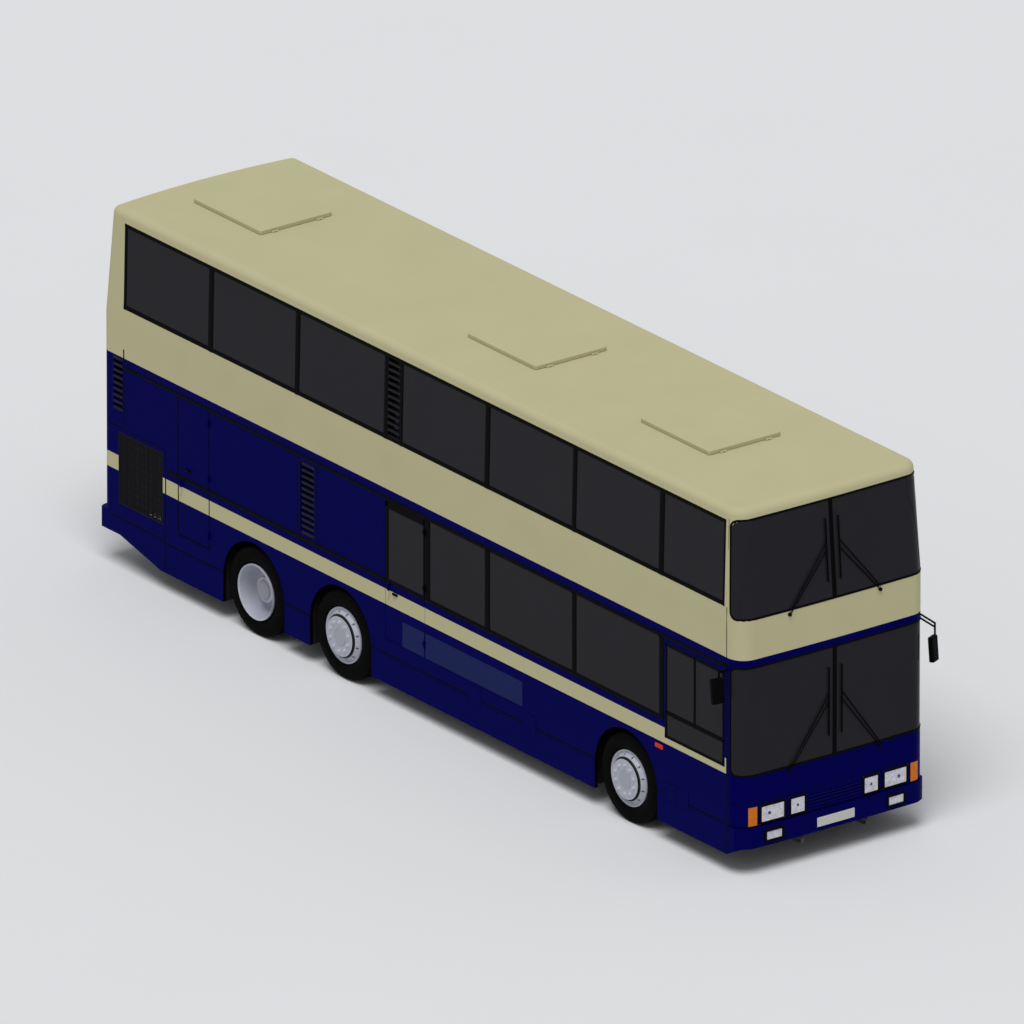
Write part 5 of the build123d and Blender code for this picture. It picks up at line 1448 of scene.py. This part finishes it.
class COACH_OT_lamps(CoachOperator, bpy.types.Operator):
    """Give the lamps their lenses and bezels, and fit the side markers"""

    bl_idname = "coach.lamps"
    bl_label = "Lamps"

    def make(self, sizes, paint):
        lens = Finish("Lamp lenses", specular=0.2)
        wide = sum_of(lens.tree, "ABSOLUTE", lens.axes["X"])
        grain = lens.grain(120.0, 14.0)
        prisms = node(
            lens.tree, "ShaderNodeTexVoronoi", {"Vector": lens.place, "Scale": 60.0}, feature="F1"
        ).outputs["Distance"]
        broad = sum_of(lens.tree, "MULTIPLY", grain["Broad"], 0.9)
        glow = sum_of(lens.tree, "MULTIPLY_ADD", prisms, 0.5, broad)
        clear = blend_of(lens.tree, glow, tone(130, 130, 142), tone(226, 226, 236))
        ragged = sum_of(lens.tree, "MULTIPLY", grain["Fine"], 0.040)
        for middle, size in LAMP_SPOTS:
            dx = sum_of(lens.tree, "SUBTRACT", wide, middle)
            dz = sum_of(lens.tree, "SUBTRACT", lens.axes["Z"], LAMP_SPOT_Z)
            squares = sum_of(lens.tree, "MULTIPLY_ADD", dx, dx, sum_of(lens.tree, "MULTIPLY", dz, dz))
            reach = sum_of(lens.tree, "ADD", sum_of(lens.tree, "SQRT", squares), ragged)
            spot = sum_of(lens.tree, "LESS_THAN", reach, size)
            clear = blend_of(lens.tree, spot, clear, tone(60, 60, 70))
        outer = sum_of(lens.tree, "GREATER_THAN", wide, INDICATOR_X)
        shade = blend_of(lens.tree, outer, clear, lens.vary(tuple(paint.amber), 0.2, prisms))
        rearward = sum_of(lens.tree, "GREATER_THAN", lens.axes["Y"], 0.0)
        shade = blend_of(lens.tree, rearward, shade, lens.vary(tuple(paint.marker), 0.25, prisms))
        lens.set("Base Color", shade)
        lens.roughness(0.12, 0.3, prisms)
        lens.bump(prisms, 0.4, 0.002)
        finish_nodes(lens.material, "lamps")

        rubber = black_rubber()
        bezels = Shape()
        section = bead_section(0.034, 0.010, 0.006)
        for side in HANDS:
            for end, x, z, out in (
                (FRONT, HEADLAMPS[0], HEADLAMP_Z, 0.0),
                (FRONT, HEADLAMPS[1], HEADLAMP_Z, 0.0),
                (FRONT, FOG_LAMP, FOG_LAMP_Z, FOG_LAMP_OUT),
                (REAR, TAIL_LAMP, TAIL_LAMP_Z, 0.0),
            ):
                bezels.sweep(self.frame(end, side, x, z, out), section, closed=True)
        bezels.piece("lamp_bezels", "body", "black_trim", [rubber])

        markers = Shape()
        for side in HANDS:
            edges = sorted((side * (SIDE_X - 0.003), side * (SIDE_X + 0.010)))
            markers.block(
                (edges[0], behind(MARKER[0]), MARKER_Z[0]), (edges[1], behind(MARKER[1]), MARKER_Z[1])
            )
        red = tuple(paint.marker)
        glow = plain_finish(
            "Side marker lens", red, 0.3, amount=0.3, broad=60.0, fine=200.0, bump=0.4, specular=0.1
        )
        markers.piece("side_markers", "body", "lamp_lens", [glow], bevel=0.003)

    def frame(self, end, side, x, z, out):
        """Upright rectangle round a lamp on the front or rear."""
        loop = rounded_loop(x, z, 0.018, 3)
        return [end_place(end, side, distance, level, out) for distance, level in loop]


class COACH_OT_vents(CoachOperator, bpy.types.Operator):
    """Finish the louvres and grilles, and set out the painted highlight along each louvre blade with
    painted shade over it, and the slats and rivets
    """

    bl_idname = "coach.vents"
    bl_label = "Louvres and grilles"

    def make(self, sizes, paint):
        air_black, mesh_black = tone(12, 12, 13), tone(22, 22, 25)
        louvre = self.slat_paint("Louvre paint", "Z", WAIST_Z, air_black, 5.0, paint)
        finish_nodes(louvre, "side_louvres")
        grille = self.slat_paint("Grille paint", "Y", SEAM_Y, mesh_black, 2.0, paint)
        finish_nodes(grille, "grilles")

        row = row_tree()
        # The grey strips on the louvre blades are painted highlight, and the black strips over them are
        # painted shade in the slots.
        lip_highlight = plain_finish("Louvre lip highlight", tone(36, 36, 40), 0.5, specular=0.03)
        slat_grey = plain_finish("Cooling slat grey", tone(30, 29, 33), 0.5, specular=0.03)
        slot_shade = black_rubber()
        bar = Shape()
        bar.block((-0.5, -0.5, -0.5), (0.5, 0.5, 0.5))
        bar = bar.unit("bar unit")
        lip_highlights, slats = Shape(), Shape()
        for side in HANDS:
            for y, start, pitch, blades in LOUVRES:
                # a grey lip painted as a highlight on the blade's edge, and a black strip over it
                # painted as the shade in the slot
                for up, height, material in ((0.0, 0.012, 0), (0.014, 0.015, 1)):
                    out = 0.001 - 0.001 * material
                    first = side_place(side, 0, start + up, out)[0]
                    last = side_place(side, 0, start + up + pitch * blades, out)[0]
                    values = {
                        "Unit": bar,
                        "Count": blades,
                        "Start": (first.x, (y[0] + y[1]) / 2, start + up),
                        "Step": ((last.x - first.x) / blades, 0, pitch),
                        "Scale": (0.005, y[1] - y[0], height),
                        "Finish": lip_highlight,
                    }
                    lip_highlights.take(grown_mesh(row, values), finish=material)
            height = MESH_Z[1] - MESH_Z[0] - 0.02
            values = {
                "Unit": bar,
                "Count": int((MESH_Y[1] - MESH_Y[0] - 0.02) / MESH_PITCH),
                "Start": (side * (SIDE_X - 0.004), MESH_Y[0] + 0.018, (MESH_Z[0] + MESH_Z[1]) / 2),
                "Step": (0, MESH_PITCH, 0),
                "Scale": (0.006, 0.009, height),
                "Finish": slat_grey,
            }
            slats.take(grown_mesh(row, values))
        lip_highlights.piece("louvre_lips", "body", "black_trim", [lip_highlight, slot_shade])
        slats.piece("cooling_slats", "body", "black_trim", [slat_grey])
        bpy.data.objects.remove(bar)

        dome = Shape()
        profile = [(-0.001, 0.0045), (0.0008, 0.0042), (0.0018, 0.0025), (0.002, 0.0003)]
        dome.turned(profile, 1, (0, 0, 0), 8)
        dome = dome.unit("rivet unit")
        rivets = Shape()
        for side in HANDS:
            for start, end in RIVET_RUNS:
                values = {
                    "Unit": dome,
                    "Count": int((behind(end) - behind(start)) / RIVET_PITCH),
                    "Start": (side * SIDE_X, behind(start), RIVET_Z),
                    "Step": (0, RIVET_PITCH, 0),
                    "Scale": (side, 1, 1),
                    "Finish": blue_sheet(),
                }
                rivets.take(grown_mesh(row, values))
        rivets.piece("skirt_rivets", "body", "blue_paint", [blue_sheet()])
        bpy.data.objects.remove(dome)

    def slat_paint(self, name, axis, limit, dark, dust_top, paint):
        """Slats painted blue below a limit on one axis, and dark past it."""
        finish = Finish(name, specular=0.03)
        grain = finish.grain(500.0, 3.0)
        within = sum_of(finish.tree, "LESS_THAN", finish.axes[axis], limit)
        shade = blend_of(finish.tree, within, dark, tuple(paint.blue))
        finish.set("Base Color", finish.dust(shade, 0.02, dust_top, paint.dust))
        finish.roughness(0.4, 0.6, grain["Broad"])
        finish.bump(grain["Fine"], 0.1, 0.0004)
        return finish.material


class COACH_OT_wheels(CoachOperator, bpy.types.Operator):
    """Make the treaded tyres and the rims, and set out their nuts, each on a black ring painted as the
    shade round it
    """

    bl_idname = "coach.wheels"
    bl_label = "Wheels"

    def make(self, sizes, paint):
        ring = ring_tree()
        nut, washer = Shape(), Shape()
        hexagon = circle_of(1.0, 6)
        nut.prism(hexagon, ((-0.3, 1.0), (0.75, 1.0), (0.95, 0.82)))
        nut.prism(hexagon, ((0.9, 0.42), (1.35, 0.42)))
        # The flat black ring under each nut is painted shade round the nut.
        washer.prism(circle_of(1.0, 12), ((-1, 1.0), (0.9, 1.0), (0.6, 0.75)))
        nut, washer = nut.unit("nut unit"), washer.unit("washer unit")
        metal = plain_finish(
            "Nut zinc", tone(196, 197, 208), 0.4, fine=700.0, bump=0.3, metallic=0.2, specular=0.3
        )
        for place, y in AXLES_Y.items():
            for side, hand in HANDS.items():
                body, twin = f"{place}_{hand}_wheel", place == "rear"
                node_end = "s" if twin else ""
                disc = self.disc_finish(f"{place} {hand} wheel disc".title(), y, twin, paint)
                rims = self.twin_rims(side, y) if twin else self.single_rim(side, y, sizes)
                stands_for = [f"{place}_{hand}_rim{node_end}"]
                rims.piece(f"{body}_rims", body, "rim_silver", [disc], stands_for, 30)
                tyres = Shape()
                for x in (TYRE_X, TWIN_X) if twin else (TYRE_X,):
                    centre = (side * x, y, AXLE_Z)
                    tyres.turned(self.tyre_profile(), side, centre, 96, True, lugs=TREAD_GROOVES)
                rubber = self.tyre_finish(f"{place} {hand} tyre rubber".title(), y)
                stands_for = [f"{place}_{hand}_tyre{node_end}"]
                tyres.piece(f"{body}_tread", body, "tyre_rubber", [rubber], stands_for, 40)
                if not twin:
                    self.nuts(ring, nut, washer, metal, side, y, sizes).piece(
                        f"{body}_nuts", body, "rim_silver", [metal, black_rubber()]
                    )
        bpy.data.objects.remove(nut)
        bpy.data.objects.remove(washer)

    def nuts(self, ring, nut, washer, metal, side, y, sizes):
        """Ring of nuts, each on a black ring painted as the shade round it, on the face of a disc."""
        made = Shape()
        face = Matrix.Translation((side * (TYRE_X + DISC_OUT), y, AXLE_Z))
        turn = face @ Matrix.Rotation(math.radians(90) * side, 4, "Y")
        radius = sizes.nut_size / 2
        # the nut in zinc, and under it a black ring painted as the shade round it
        for unit, size, height, finish in ((nut, radius, 0.020, 0), (washer, radius + 0.011, 0.004, 1)):
            values = {
                "Unit": unit,
                "Count": sizes.nuts,
                "Radius": sizes.nut_ring,
                "Scale": (size, size, height),
                "Looseness": 0.5,
                "Seed": 3,
                "Finish": metal,
            }
            made.take(grown_mesh(ring, values), turn, finish)
        return made

    def single_rim(self, side, y, sizes):
        """Rim of a single wheel: barrel, cone with its hand holes, flat disc and flush cap."""
        face, hub = DISC_OUT, CAP_RADIUS
        profile = [
            (-0.108, 0.300),
            (-0.112, RIM_LIP),
            (-0.100, 0.314),
            (-0.090, 0.296),
            (0.100, 0.296),
            (0.112, 0.314),
            (0.128, RIM_LIP),
            (0.128, 0.308),
            (0.120, 0.298),
            (0.108, 0.286),
            (0.166, DISC_RADIUS + 0.010),
            (0.160, DISC_RADIUS + 0.006),
            (0.160, DISC_RADIUS + 0.001),
            (face, DISC_RADIUS),
            (face, hub + 0.001),
            (0.150, hub),
            (0.150, 0.215),
            (0.080, 0.274),
            (-0.090, 0.286),
        ]
        rim = Shape()
        rim.turned(profile, side, (side * TYRE_X, y, AXLE_Z), 96, True)
        solid = rim.unit("rim unit")
        cutters = Shape()
        for n in range(sizes.holes):
            angle = 2 * math.pi * (n + 0.5) / sizes.holes
            middle = Vector((0, math.cos(angle), math.sin(angle))) * sizes.hole_ring
            start = Vector((side * (TYRE_X + 0.02), y, AXLE_Z)) + middle
            cutters.rod(start, start + Vector((side * 0.2, 0, 0)), sizes.hole_size)
        cutter = cutters.unit("hole cutter")
        cut = solid.modifiers.new("Hand holes", "BOOLEAN")
        cut.operation, cut.solver, cut.object = "DIFFERENCE", "EXACT", cutter
        bpy.context.view_layer.update()
        evaluated = solid.evaluated_get(bpy.context.evaluated_depsgraph_get())
        mesh = bpy.data.meshes.new_from_object(evaluated)
        bpy.data.objects.remove(solid)
        bpy.data.objects.remove(cutter)
        made = Shape()
        made.take(mesh)
        cap = [(0.140, hub), (face + 0.002, hub), (face + 0.004, hub - 0.003), (face + 0.004, 0.001)]
        made.turned(cap, side, (side * TYRE_X, y, AXLE_Z), 64)
        return made

    def twin_rims(self, side, y):
        """Rims of a twin wheel: deep smooth dish outside and a plain barrel inside."""
        dish = [
            (-0.150, 0.001),
            (-0.150, 0.200),
            (-0.125, 0.250),
            (-0.112, 0.300),
            (-0.112, RIM_LIP),
            (-0.100, 0.314),
            (-0.090, 0.298),
            (0.100, 0.298),
            (0.125, 0.314),
            (0.148, RIM_LIP),
            (0.148, 0.308),
            (0.138, 0.297),
            (0.100, 0.289),
            (0.020, 0.280),
            (-0.050, 0.262),
            (-0.092, 0.235),
            (-0.110, 0.205),
            (-0.110, 0.170),
            (-0.090, 0.155),
            (0.005, 0.148),
            (0.018, 0.140),
            (0.022, CAP_RADIUS + 0.004),
            (0.042, CAP_RADIUS),
            (0.046, CAP_RADIUS - 0.006),
            (0.046, 0.001),
        ]
        barrel = [
            (-0.112, RIM_LIP),
            (-0.090, 0.298),
            (0.090, 0.298),
            (0.112, RIM_LIP),
            (0.100, 0.288),
            (-0.100, 0.288),
        ]
        made = Shape()
        made.turned(dish, side, (side * TYRE_X, y, AXLE_Z), 96)
        made.turned(barrel, side, (side * TWIN_X, y, AXLE_Z), 64, True)
        return made

    def tyre_profile(self):
        """Section of a tyre with its sidewall rings and four grooves, as (out, radius) pairs."""
        side = [
            (0.103, 0.300),
            (0.105, 0.315),
            (0.124, 0.328),
            (0.131, 0.342),
            (0.134, 0.357),
            (0.1375, 0.38),
            (0.140, 0.41),
            (0.1375, 0.44),
            (0.134, 0.452),
            (0.1345, 0.457),
            (0.128, 0.474),
            (0.119, 0.488),
            (0.106, 0.4975),
        ]
        crown = []
        for middle in (0.074, 0.024):
            crown += [(middle + 0.006, 0.4995), (middle + 0.005, 0.488)]
            crown += [(middle - 0.005, 0.488), (middle - 0.006, 0.4998)]
        half = side + crown
        return half + [(-out, radius) for out, radius in reversed(half)]

    def ring_place(self, finish, y):
        """Distance from the axle over a wheel."""
        dy = sum_of(finish.tree, "SUBTRACT", finish.axes["Y"], y)
        dz = sum_of(finish.tree, "SUBTRACT", finish.axes["Z"], AXLE_Z)
        squares = sum_of(finish.tree, "MULTIPLY_ADD", dy, dy, sum_of(finish.tree, "MULTIPLY", dz, dz))
        return sum_of(finish.tree, "SQRT", squares)

    def tyre_finish(self, name, y):
        """Rubber with moulded sidewall rings and dust in its tread."""
        finish = Finish(name, specular=0.03)
        grain = finish.grain(350.0, 9.0)
        radius = self.ring_place(finish, y)
        shade = finish.vary(tone(6, 6, 7), 0.2, grain["Broad"])
        worn = node(
            finish.tree,
            "ShaderNodeMapRange",
            {"Value": radius, "From Min": 0.455, "From Max": 0.5, "To Min": 0.0, "To Max": 0.12},
        ).outputs[0]
        worn = sum_of(finish.tree, "MULTIPLY", worn, grain["Broad"])
        shade = blend_of(finish.tree, worn, shade, tone(60, 58, 55))
        finish.set("Base Color", shade)
        rings = sum_of(finish.tree, "SINE", sum_of(finish.tree, "MULTIPLY", radius, 900.0))
        finish.roughness(0.6, 0.8, grain["Broad"])
        finish.bump(sum_of(finish.tree, "MULTIPLY_ADD", rings, 0.5, grain["Fine"]), 0.25, 0.0008)
        return finish.material

    def disc_finish(self, name, y, twin, paint):
        """Silver disc paint, grimy in its corners and towards the hub, with a black ring painted as the
        shade in the groove round a single wheel's disc.
        """
        finish = Finish(name, specular=0.35)
        grain = finish.grain(400.0, 8.0)
        radius = self.ring_place(finish, y)
        shade = finish.vary(tuple(paint.silver), 0.08, grain["Broad"])
        spots = finish.worn(9.0, 0.58)
        near = node(
            finish.tree,
            "ShaderNodeMapRange",
            {"Value": radius, "From Min": 0.33, "From Max": 0.05, "To Min": 0.08, "To Max": 0.4},
        ).outputs[0]
        spots = sum_of(finish.tree, "MULTIPLY", spots, near)
        shade = blend_of(finish.tree, spots, shade, tone(120, 108, 100))
        # A black ring painted in the groove round a single wheel's disc stands for the shade in that
        # gap.
        if not twin:
            gap = sum_of(finish.tree, "SUBTRACT", radius, DISC_RADIUS + 0.010)
            ring = sum_of(finish.tree, "LESS_THAN", sum_of(finish.tree, "ABSOLUTE", gap), 0.0105)
            shade = blend_of(finish.tree, ring, shade, paint.black)
        hub = sum_of(finish.tree, "LESS_THAN", radius, CAP_RADIUS)
        shade = blend_of(finish.tree, hub, shade, tone(150, 148, 158) if twin else tone(164, 166, 178))
        finish.set("Base Color", shade)
        finish.set("Metallic", 0.1)
        finish.roughness(0.32, 0.5, grain["Broad"])
        finish.bump(grain["Fine"], 0.12, 0.0005)
        return finish.material


class COACH_OT_seats(CoachOperator, bpy.types.Operator):
    """Make the padded seats of both decks and the driver's seat, with their frames"""

    bl_idname = "coach.seats"
    bl_label = "Passenger seating"

    def make(self, sizes, paint):
        cloth = self.cloth_finish(paint)
        shell = plain_finish("Moulded shell plastic", tone(40, 41, 46), 0.45, fine=900.0, bump=0.3)
        tree = places_tree()
        pads, frames = self.double_seat(sizes)
        pads, frames = pads.unit("pad unit"), frames.unit("frame unit")
        one = {"Scale": (1, 1, 1)}
        for deck, cad, floor_z, start, rows in DECKS:
            places = [
                Vector((side * SEAT_X, behind(start + SEAT_PITCH * n), floor_z))
                for n in range(rows)
                for side in (1, -1)
            ]
            places = [place for place in places if self.seat_there(cad, place)]
            mesh = grown_mesh(tree, {"Unit": pads, "Finish": cloth, **one}, places)
            cushions = finished(f"{deck}_seat_cushions", mesh, "body", [cloth], [cad], 60)
            mesh = grown_mesh(tree, {"Unit": frames, "Finish": shell, **one}, places)
            finished(f"{deck}_seat_frames", mesh, "body", [shell])
        bpy.data.objects.remove(pads)
        bpy.data.objects.remove(frames)

        driver = Shape()
        self.pad(driver, DRIVER + Vector((0, 0.215, 0.375)), (0.23, 0.215, PAD_HALF))
        self.pad(driver, DRIVER + Vector((0, 0.475, 0.72)), (0.23, 0.045, 0.26))
        seat = driver.piece("driver_seat_cushions", "body", "seat_cloth", [cloth], ["lower_seats"], 60)
        stand = Shape()
        stand.block(DRIVER + Vector((-0.2, 0.03, 0.27)), DRIVER + Vector((0.2, 0.42, 0.32)))
        stand.block(DRIVER + Vector((-0.12, 0.08, 0.0)), DRIVER + Vector((0.12, 0.38, 0.27)))
        stand.piece("driver_seat_stand", "body", "black_trim", [shell], bevel=0.012)

    def seat_there(self, cad, place):
        """True if the CAD node has a seat at this place."""
        points = [v.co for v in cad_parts[cad].data.vertices]
        return any(abs(p.x - place.x) < 0.46 and abs(p.y - place.y) < 0.01 for p in points)

    def pad(self, shape, centre, half, squareness=0.32, rows=10, steps=20):
        """Crowned closed pad, pulled in at its edges, flat nowhere."""
        points = [centre - Vector((0, 0, half[2]))]
        for i in range(1, rows):
            up = -math.pi / 2 + math.pi * i / rows
            for k in range(steps):
                turn = 2 * math.pi * k / steps
                ring = self.power(math.cos(up), squareness)
                x = half[0] * ring * self.power(math.cos(turn), 0.22)
                y = half[1] * ring * self.power(math.sin(turn), 0.22)
                points.append(centre + Vector((x, y, half[2] * self.power(math.sin(up), 0.55))))
        points.append(centre + Vector((0, 0, half[2])))
        faces = [(0, 1 + (k + 1) % steps, 1 + k) for k in range(steps)]
        for i in range(rows - 2):
            for k in range(steps):
                m = (k + 1) % steps
                a, b = 1 + i * steps, 1 + (i + 1) * steps
                faces.append((a + k, a + m, b + m, b + k))
        last = len(points) - 1
        faces += [(last, last - steps + k, last - steps + (k + 1) % steps) for k in range(steps)]
        shape.add(points, faces)

    def power(self, value, exponent):
        """Signed power that squares off a rounded form."""
        return math.copysign(abs(value) ** exponent, value)

    def double_seat(self, sizes):
        """Pads and frame of one double seat, its front at the origin and its back behind it."""
        pads, frames = Shape(), Shape()
        half, wide = sizes.seat_width / 4, sizes.seat_width / 2
        depth, top, back = sizes.seat_depth, sizes.seat_height, sizes.back_height
        for side in (-1, 1):
            middle = Vector((side * half, depth / 2, top - PAD_HALF))
            self.pad(pads, middle, (half - 0.004, depth / 2, PAD_HALF))
            middle = Vector((side * half, depth + 0.03, top + back / 2 - 0.03))
            self.pad(pads, middle, (half - 0.006, 0.045, back / 2 - 0.01))
        pan, board = (top - 0.125, top - 0.095), (top - 0.1, top + back - 0.03)
        frames.block((-wide + 0.02, 0.02, pan[0]), (wide - 0.02, depth, pan[1]))
        frames.block((-wide + 0.01, depth + 0.055, board[0]), (wide - 0.01, depth + 0.075, board[1]))
        for x in (-wide + 0.16, wide - 0.16):
            frames.block((x - 0.02, 0.06, 0), (x + 0.02, 0.10, top - 0.12))
            frames.block((x - 0.02, depth - 0.06, 0), (x + 0.02, depth - 0.02, top - 0.12))
            frames.block((x - 0.025, 0.04, 0), (x + 0.025, depth, 0.02))
        # grab rail over the back, from one end to the other
        rail = [(-wide + 0.05, -0.06), (-wide + 0.05, -0.01), (-wide + 0.09, 0.0)]
        rail += [(-x, z) for x, z in reversed(rail)]
        rail_y, rail_z, away = depth + 0.04, top + back - 0.012, Vector((0, 1, 0))
        line = [(Vector((x, rail_y, rail_z + z)), away) for x, z in rail]
        frames.sweep(line, circle_of(0.011, 8))
        return pads, frames

    def cloth_finish(self, paint):
        """Woven wool cloth with soft shading between threads."""
        finish = Finish("Cushion cloth", roughness=0.9, specular=0.1, Sheen_Weight=0.2)
        weave = finish.group("Woven threads", {"Position": finish.place, "Thread scale": 240.0})
        shade = finish.vary(tuple(paint.cloth), 0.25, weave["Shade"])
        threads = sum_of(finish.tree, "MULTIPLY", weave["Height"], 0.35)
        shade = blend_of(finish.tree, threads, shade, tone(96, 104, 148))
        finish.set("Base Color", shade)
        finish.bump(weave["Height"], 0.5, 0.001)
        return finish.material


class COACH_OT_inside(CoachOperator, bpy.types.Operator):
    """Finish the floors, stairs, inner walls, cab and wheel boxes"""

    bl_idname = "coach.inside"
    bl_label = "Inside"

    def make(self, sizes, paint):
        lino = plain_finish(
            "Floor covering",
            tuple(paint.floor),
            0.6,
            amount=0.25,
            fine=150.0,
            broad=70.0,
            bump=0.2,
            worn=(tone(60, 58, 55), 2.5, 0.62),
        )
        finish_nodes(lino, "lower_floors", "upper_floor", "stairs")
        wall = plain_finish("Inner wall laminate", tone(120, 118, 112), 0.5, amount=0.06, fine=600.0)
        finish_nodes(wall, "bulkheads")
        moulding = plain_finish("Dashboard moulding", tone(34, 34, 36), 0.55, fine=900.0, bump=0.5)
        finish_nodes(moulding, "dashboard", "steering_wheel")
        liner = plain_finish(
            "Arch liner", tone(13, 13, 13), 0.8, fine=120.0, bump=0.4, dust=0.25, specular=0.1
        )
        finish_nodes(liner, "wheel_boxes")


class COACH_OT_underframe(CoachOperator, bpy.types.Operator):
    """Finish the frame, axles, springs, steering, engine and tank"""

    bl_idname = "coach.underframe"
    bl_label = "Underframe"

    def make(self, sizes, paint):
        rust = (tone(84, 58, 42), 7.0, 0.6)
        steel = plain_finish(
            "Chassis paint", tuple(paint.chassis), 0.55, dust=0.5, worn=rust, bump=0.4, fine=160.0
        )
        finish_nodes(steel, "chassis_frame", "axles", "suspension")
        iron = plain_finish(
            "Cast iron", tone(66, 66, 68), 0.5, dust=0.3, worn=rust, bump=0.7, fine=110.0, metallic=0.4
        )
        finish_nodes(iron, "engine", "right_knuckle", "left_knuckle")
        tank = plain_finish("Tank paint", tone(50, 50, 52), 0.45, dust=0.4, bump=0.2)
        finish_nodes(tank, "fuel_tank")


class COACH_OT_fittings(CoachOperator, bpy.types.Operator):
    """Make the mirrors, finish the wipers and fit the blank plates"""

    bl_idname = "coach.fittings"
    bl_label = "Fittings"

    def make(self, sizes, paint):
        rubber = black_rubber()
        finish_nodes(rubber, "wipers")
        heads, glasses = Shape(), Shape()
        glass = plain_finish(
            "Mirror glass", tone(150, 155, 160), 0.06, bump=0.01, metallic=0.9, specular=0.5
        )
        half = Vector(MIRROR_SIZE) / 2
        for centre, turn in MIRRORS.values():
            stand = (
                Matrix.Translation(centre)
                @ Matrix.Rotation(math.radians(MIRROR_TILT), 4, "X")
                @ Matrix.Rotation(math.radians(turn), 4, "Z")
            )
            for shape, low, high in (
                (heads, -half, half),
                (
                    glasses,
                    Vector((0.012 - half.x, half.y - 0.001, 0.014 - half.z)),
                    Vector((half.x - 0.012, half.y + 0.002, half.z - 0.014)),
                ),
            ):
                part = Shape()
                part.block(low, high)
                shape.add([stand @ Vector(p) for p in part.points], part.faces)
        heads.piece("mirror_heads", "body", "black_trim", [rubber], ["mirrors"], bevel=0.012)
        glasses.piece("mirror_glasses", "body", "lamp_lens", [glass], bevel=0.001)
        arms = Shape()
        centre = MIRRORS["right"][0]
        level, post = centre.z + ARM_RISE, centre.x + 0.028
        arms.rod(Vector((-SIDE_X + 0.01, centre.y, level)), Vector((post, centre.y, level)), ARM_RADIUS)
        foot = Vector((post, centre.y, centre.z + MIRROR_TOP))
        arms.rod(Vector((post, centre.y, level + ARM_RADIUS)), foot, ARM_RADIUS)
        centre = MIRRORS["left"][0]
        post = centre.x + 0.020
        for level in KERB_ARMS_Z:
            outer = Vector((post, centre.y, level - ARM_FALL))
            arms.rod(Vector((1.18, centre.y, level)), outer, ARM_RADIUS)
        foot = Vector((post, centre.y, centre.z + MIRROR_TOP))
        arms.rod(Vector((post, centre.y, KERB_POST_TOP_Z)), foot, ARM_RADIUS)
        arms.piece("mirror_arms", "body", "black_trim", [rubber], ["mirrors"])
        white = plain_finish("Plate white", tone(205, 205, 200), 0.35, amount=0.04, dust=0.3, fine=500.0)
        plates, half = Shape(), sizes.plate_width / 2
        for low, high, foot in PLATES:
            plates.block((-half, low, foot), (half, high, foot + sizes.plate_height))
        plates.piece("blank_plates", "body", "lamp_lens", [white], bevel=0.002)


class COACH_PT_panel(bpy.types.Panel):
    """Sizes, colours and pieces of the coach"""

    bl_idname = "COACH_PT_panel"
    bl_label = "Double-decker coach"
    bl_space_type = "VIEW_3D"
    bl_region_type = "UI"
    bl_category = "Coach"

    def draw(self, context):
        for group in (context.scene.coach_stage, context.scene.coach_paint, context.scene.coach_sizes):
            box = self.layout.box()
            for key in group.bl_rna.properties.keys():
                if key not in {"rna_type", "name"}:
                    box.prop(group, key)
        for operator in OPERATORS:
            self.layout.operator(operator.bl_idname)


OPERATORS = (
    COACH_OT_stage,
    COACH_OT_coachwork,
    COACH_OT_glazing,
    COACH_OT_beads,
    COACH_OT_lamps,
    COACH_OT_vents,
    COACH_OT_wheels,
    COACH_OT_seats,
    COACH_OT_inside,
    COACH_OT_underframe,
    COACH_OT_fittings,
)
CLASSES = (CoachPaint, CoachSizes, CoachStage) + OPERATORS + (COACH_PT_panel,)


def register():
    """Add the classes and their property groups."""
    for item in CLASSES:
        bpy.utils.register_class(item)
    bpy.types.Scene.coach_paint = bpy.props.PointerProperty(type=CoachPaint)
    bpy.types.Scene.coach_sizes = bpy.props.PointerProperty(type=CoachSizes)
    bpy.types.Scene.coach_stage = bpy.props.PointerProperty(type=CoachStage)


def unregister():
    """Take the classes and their property groups away."""
    del bpy.types.Scene.coach_paint, bpy.types.Scene.coach_sizes, bpy.types.Scene.coach_stage
    for item in reversed(CLASSES):
        bpy.utils.unregister_class(item)


def main():
    """Build the whole dressed coach."""
    register()
    for operator in OPERATORS:
        getattr(bpy.ops.coach, operator.bl_idname.split(".")[1])()


if __name__ == "__main__":
    main()
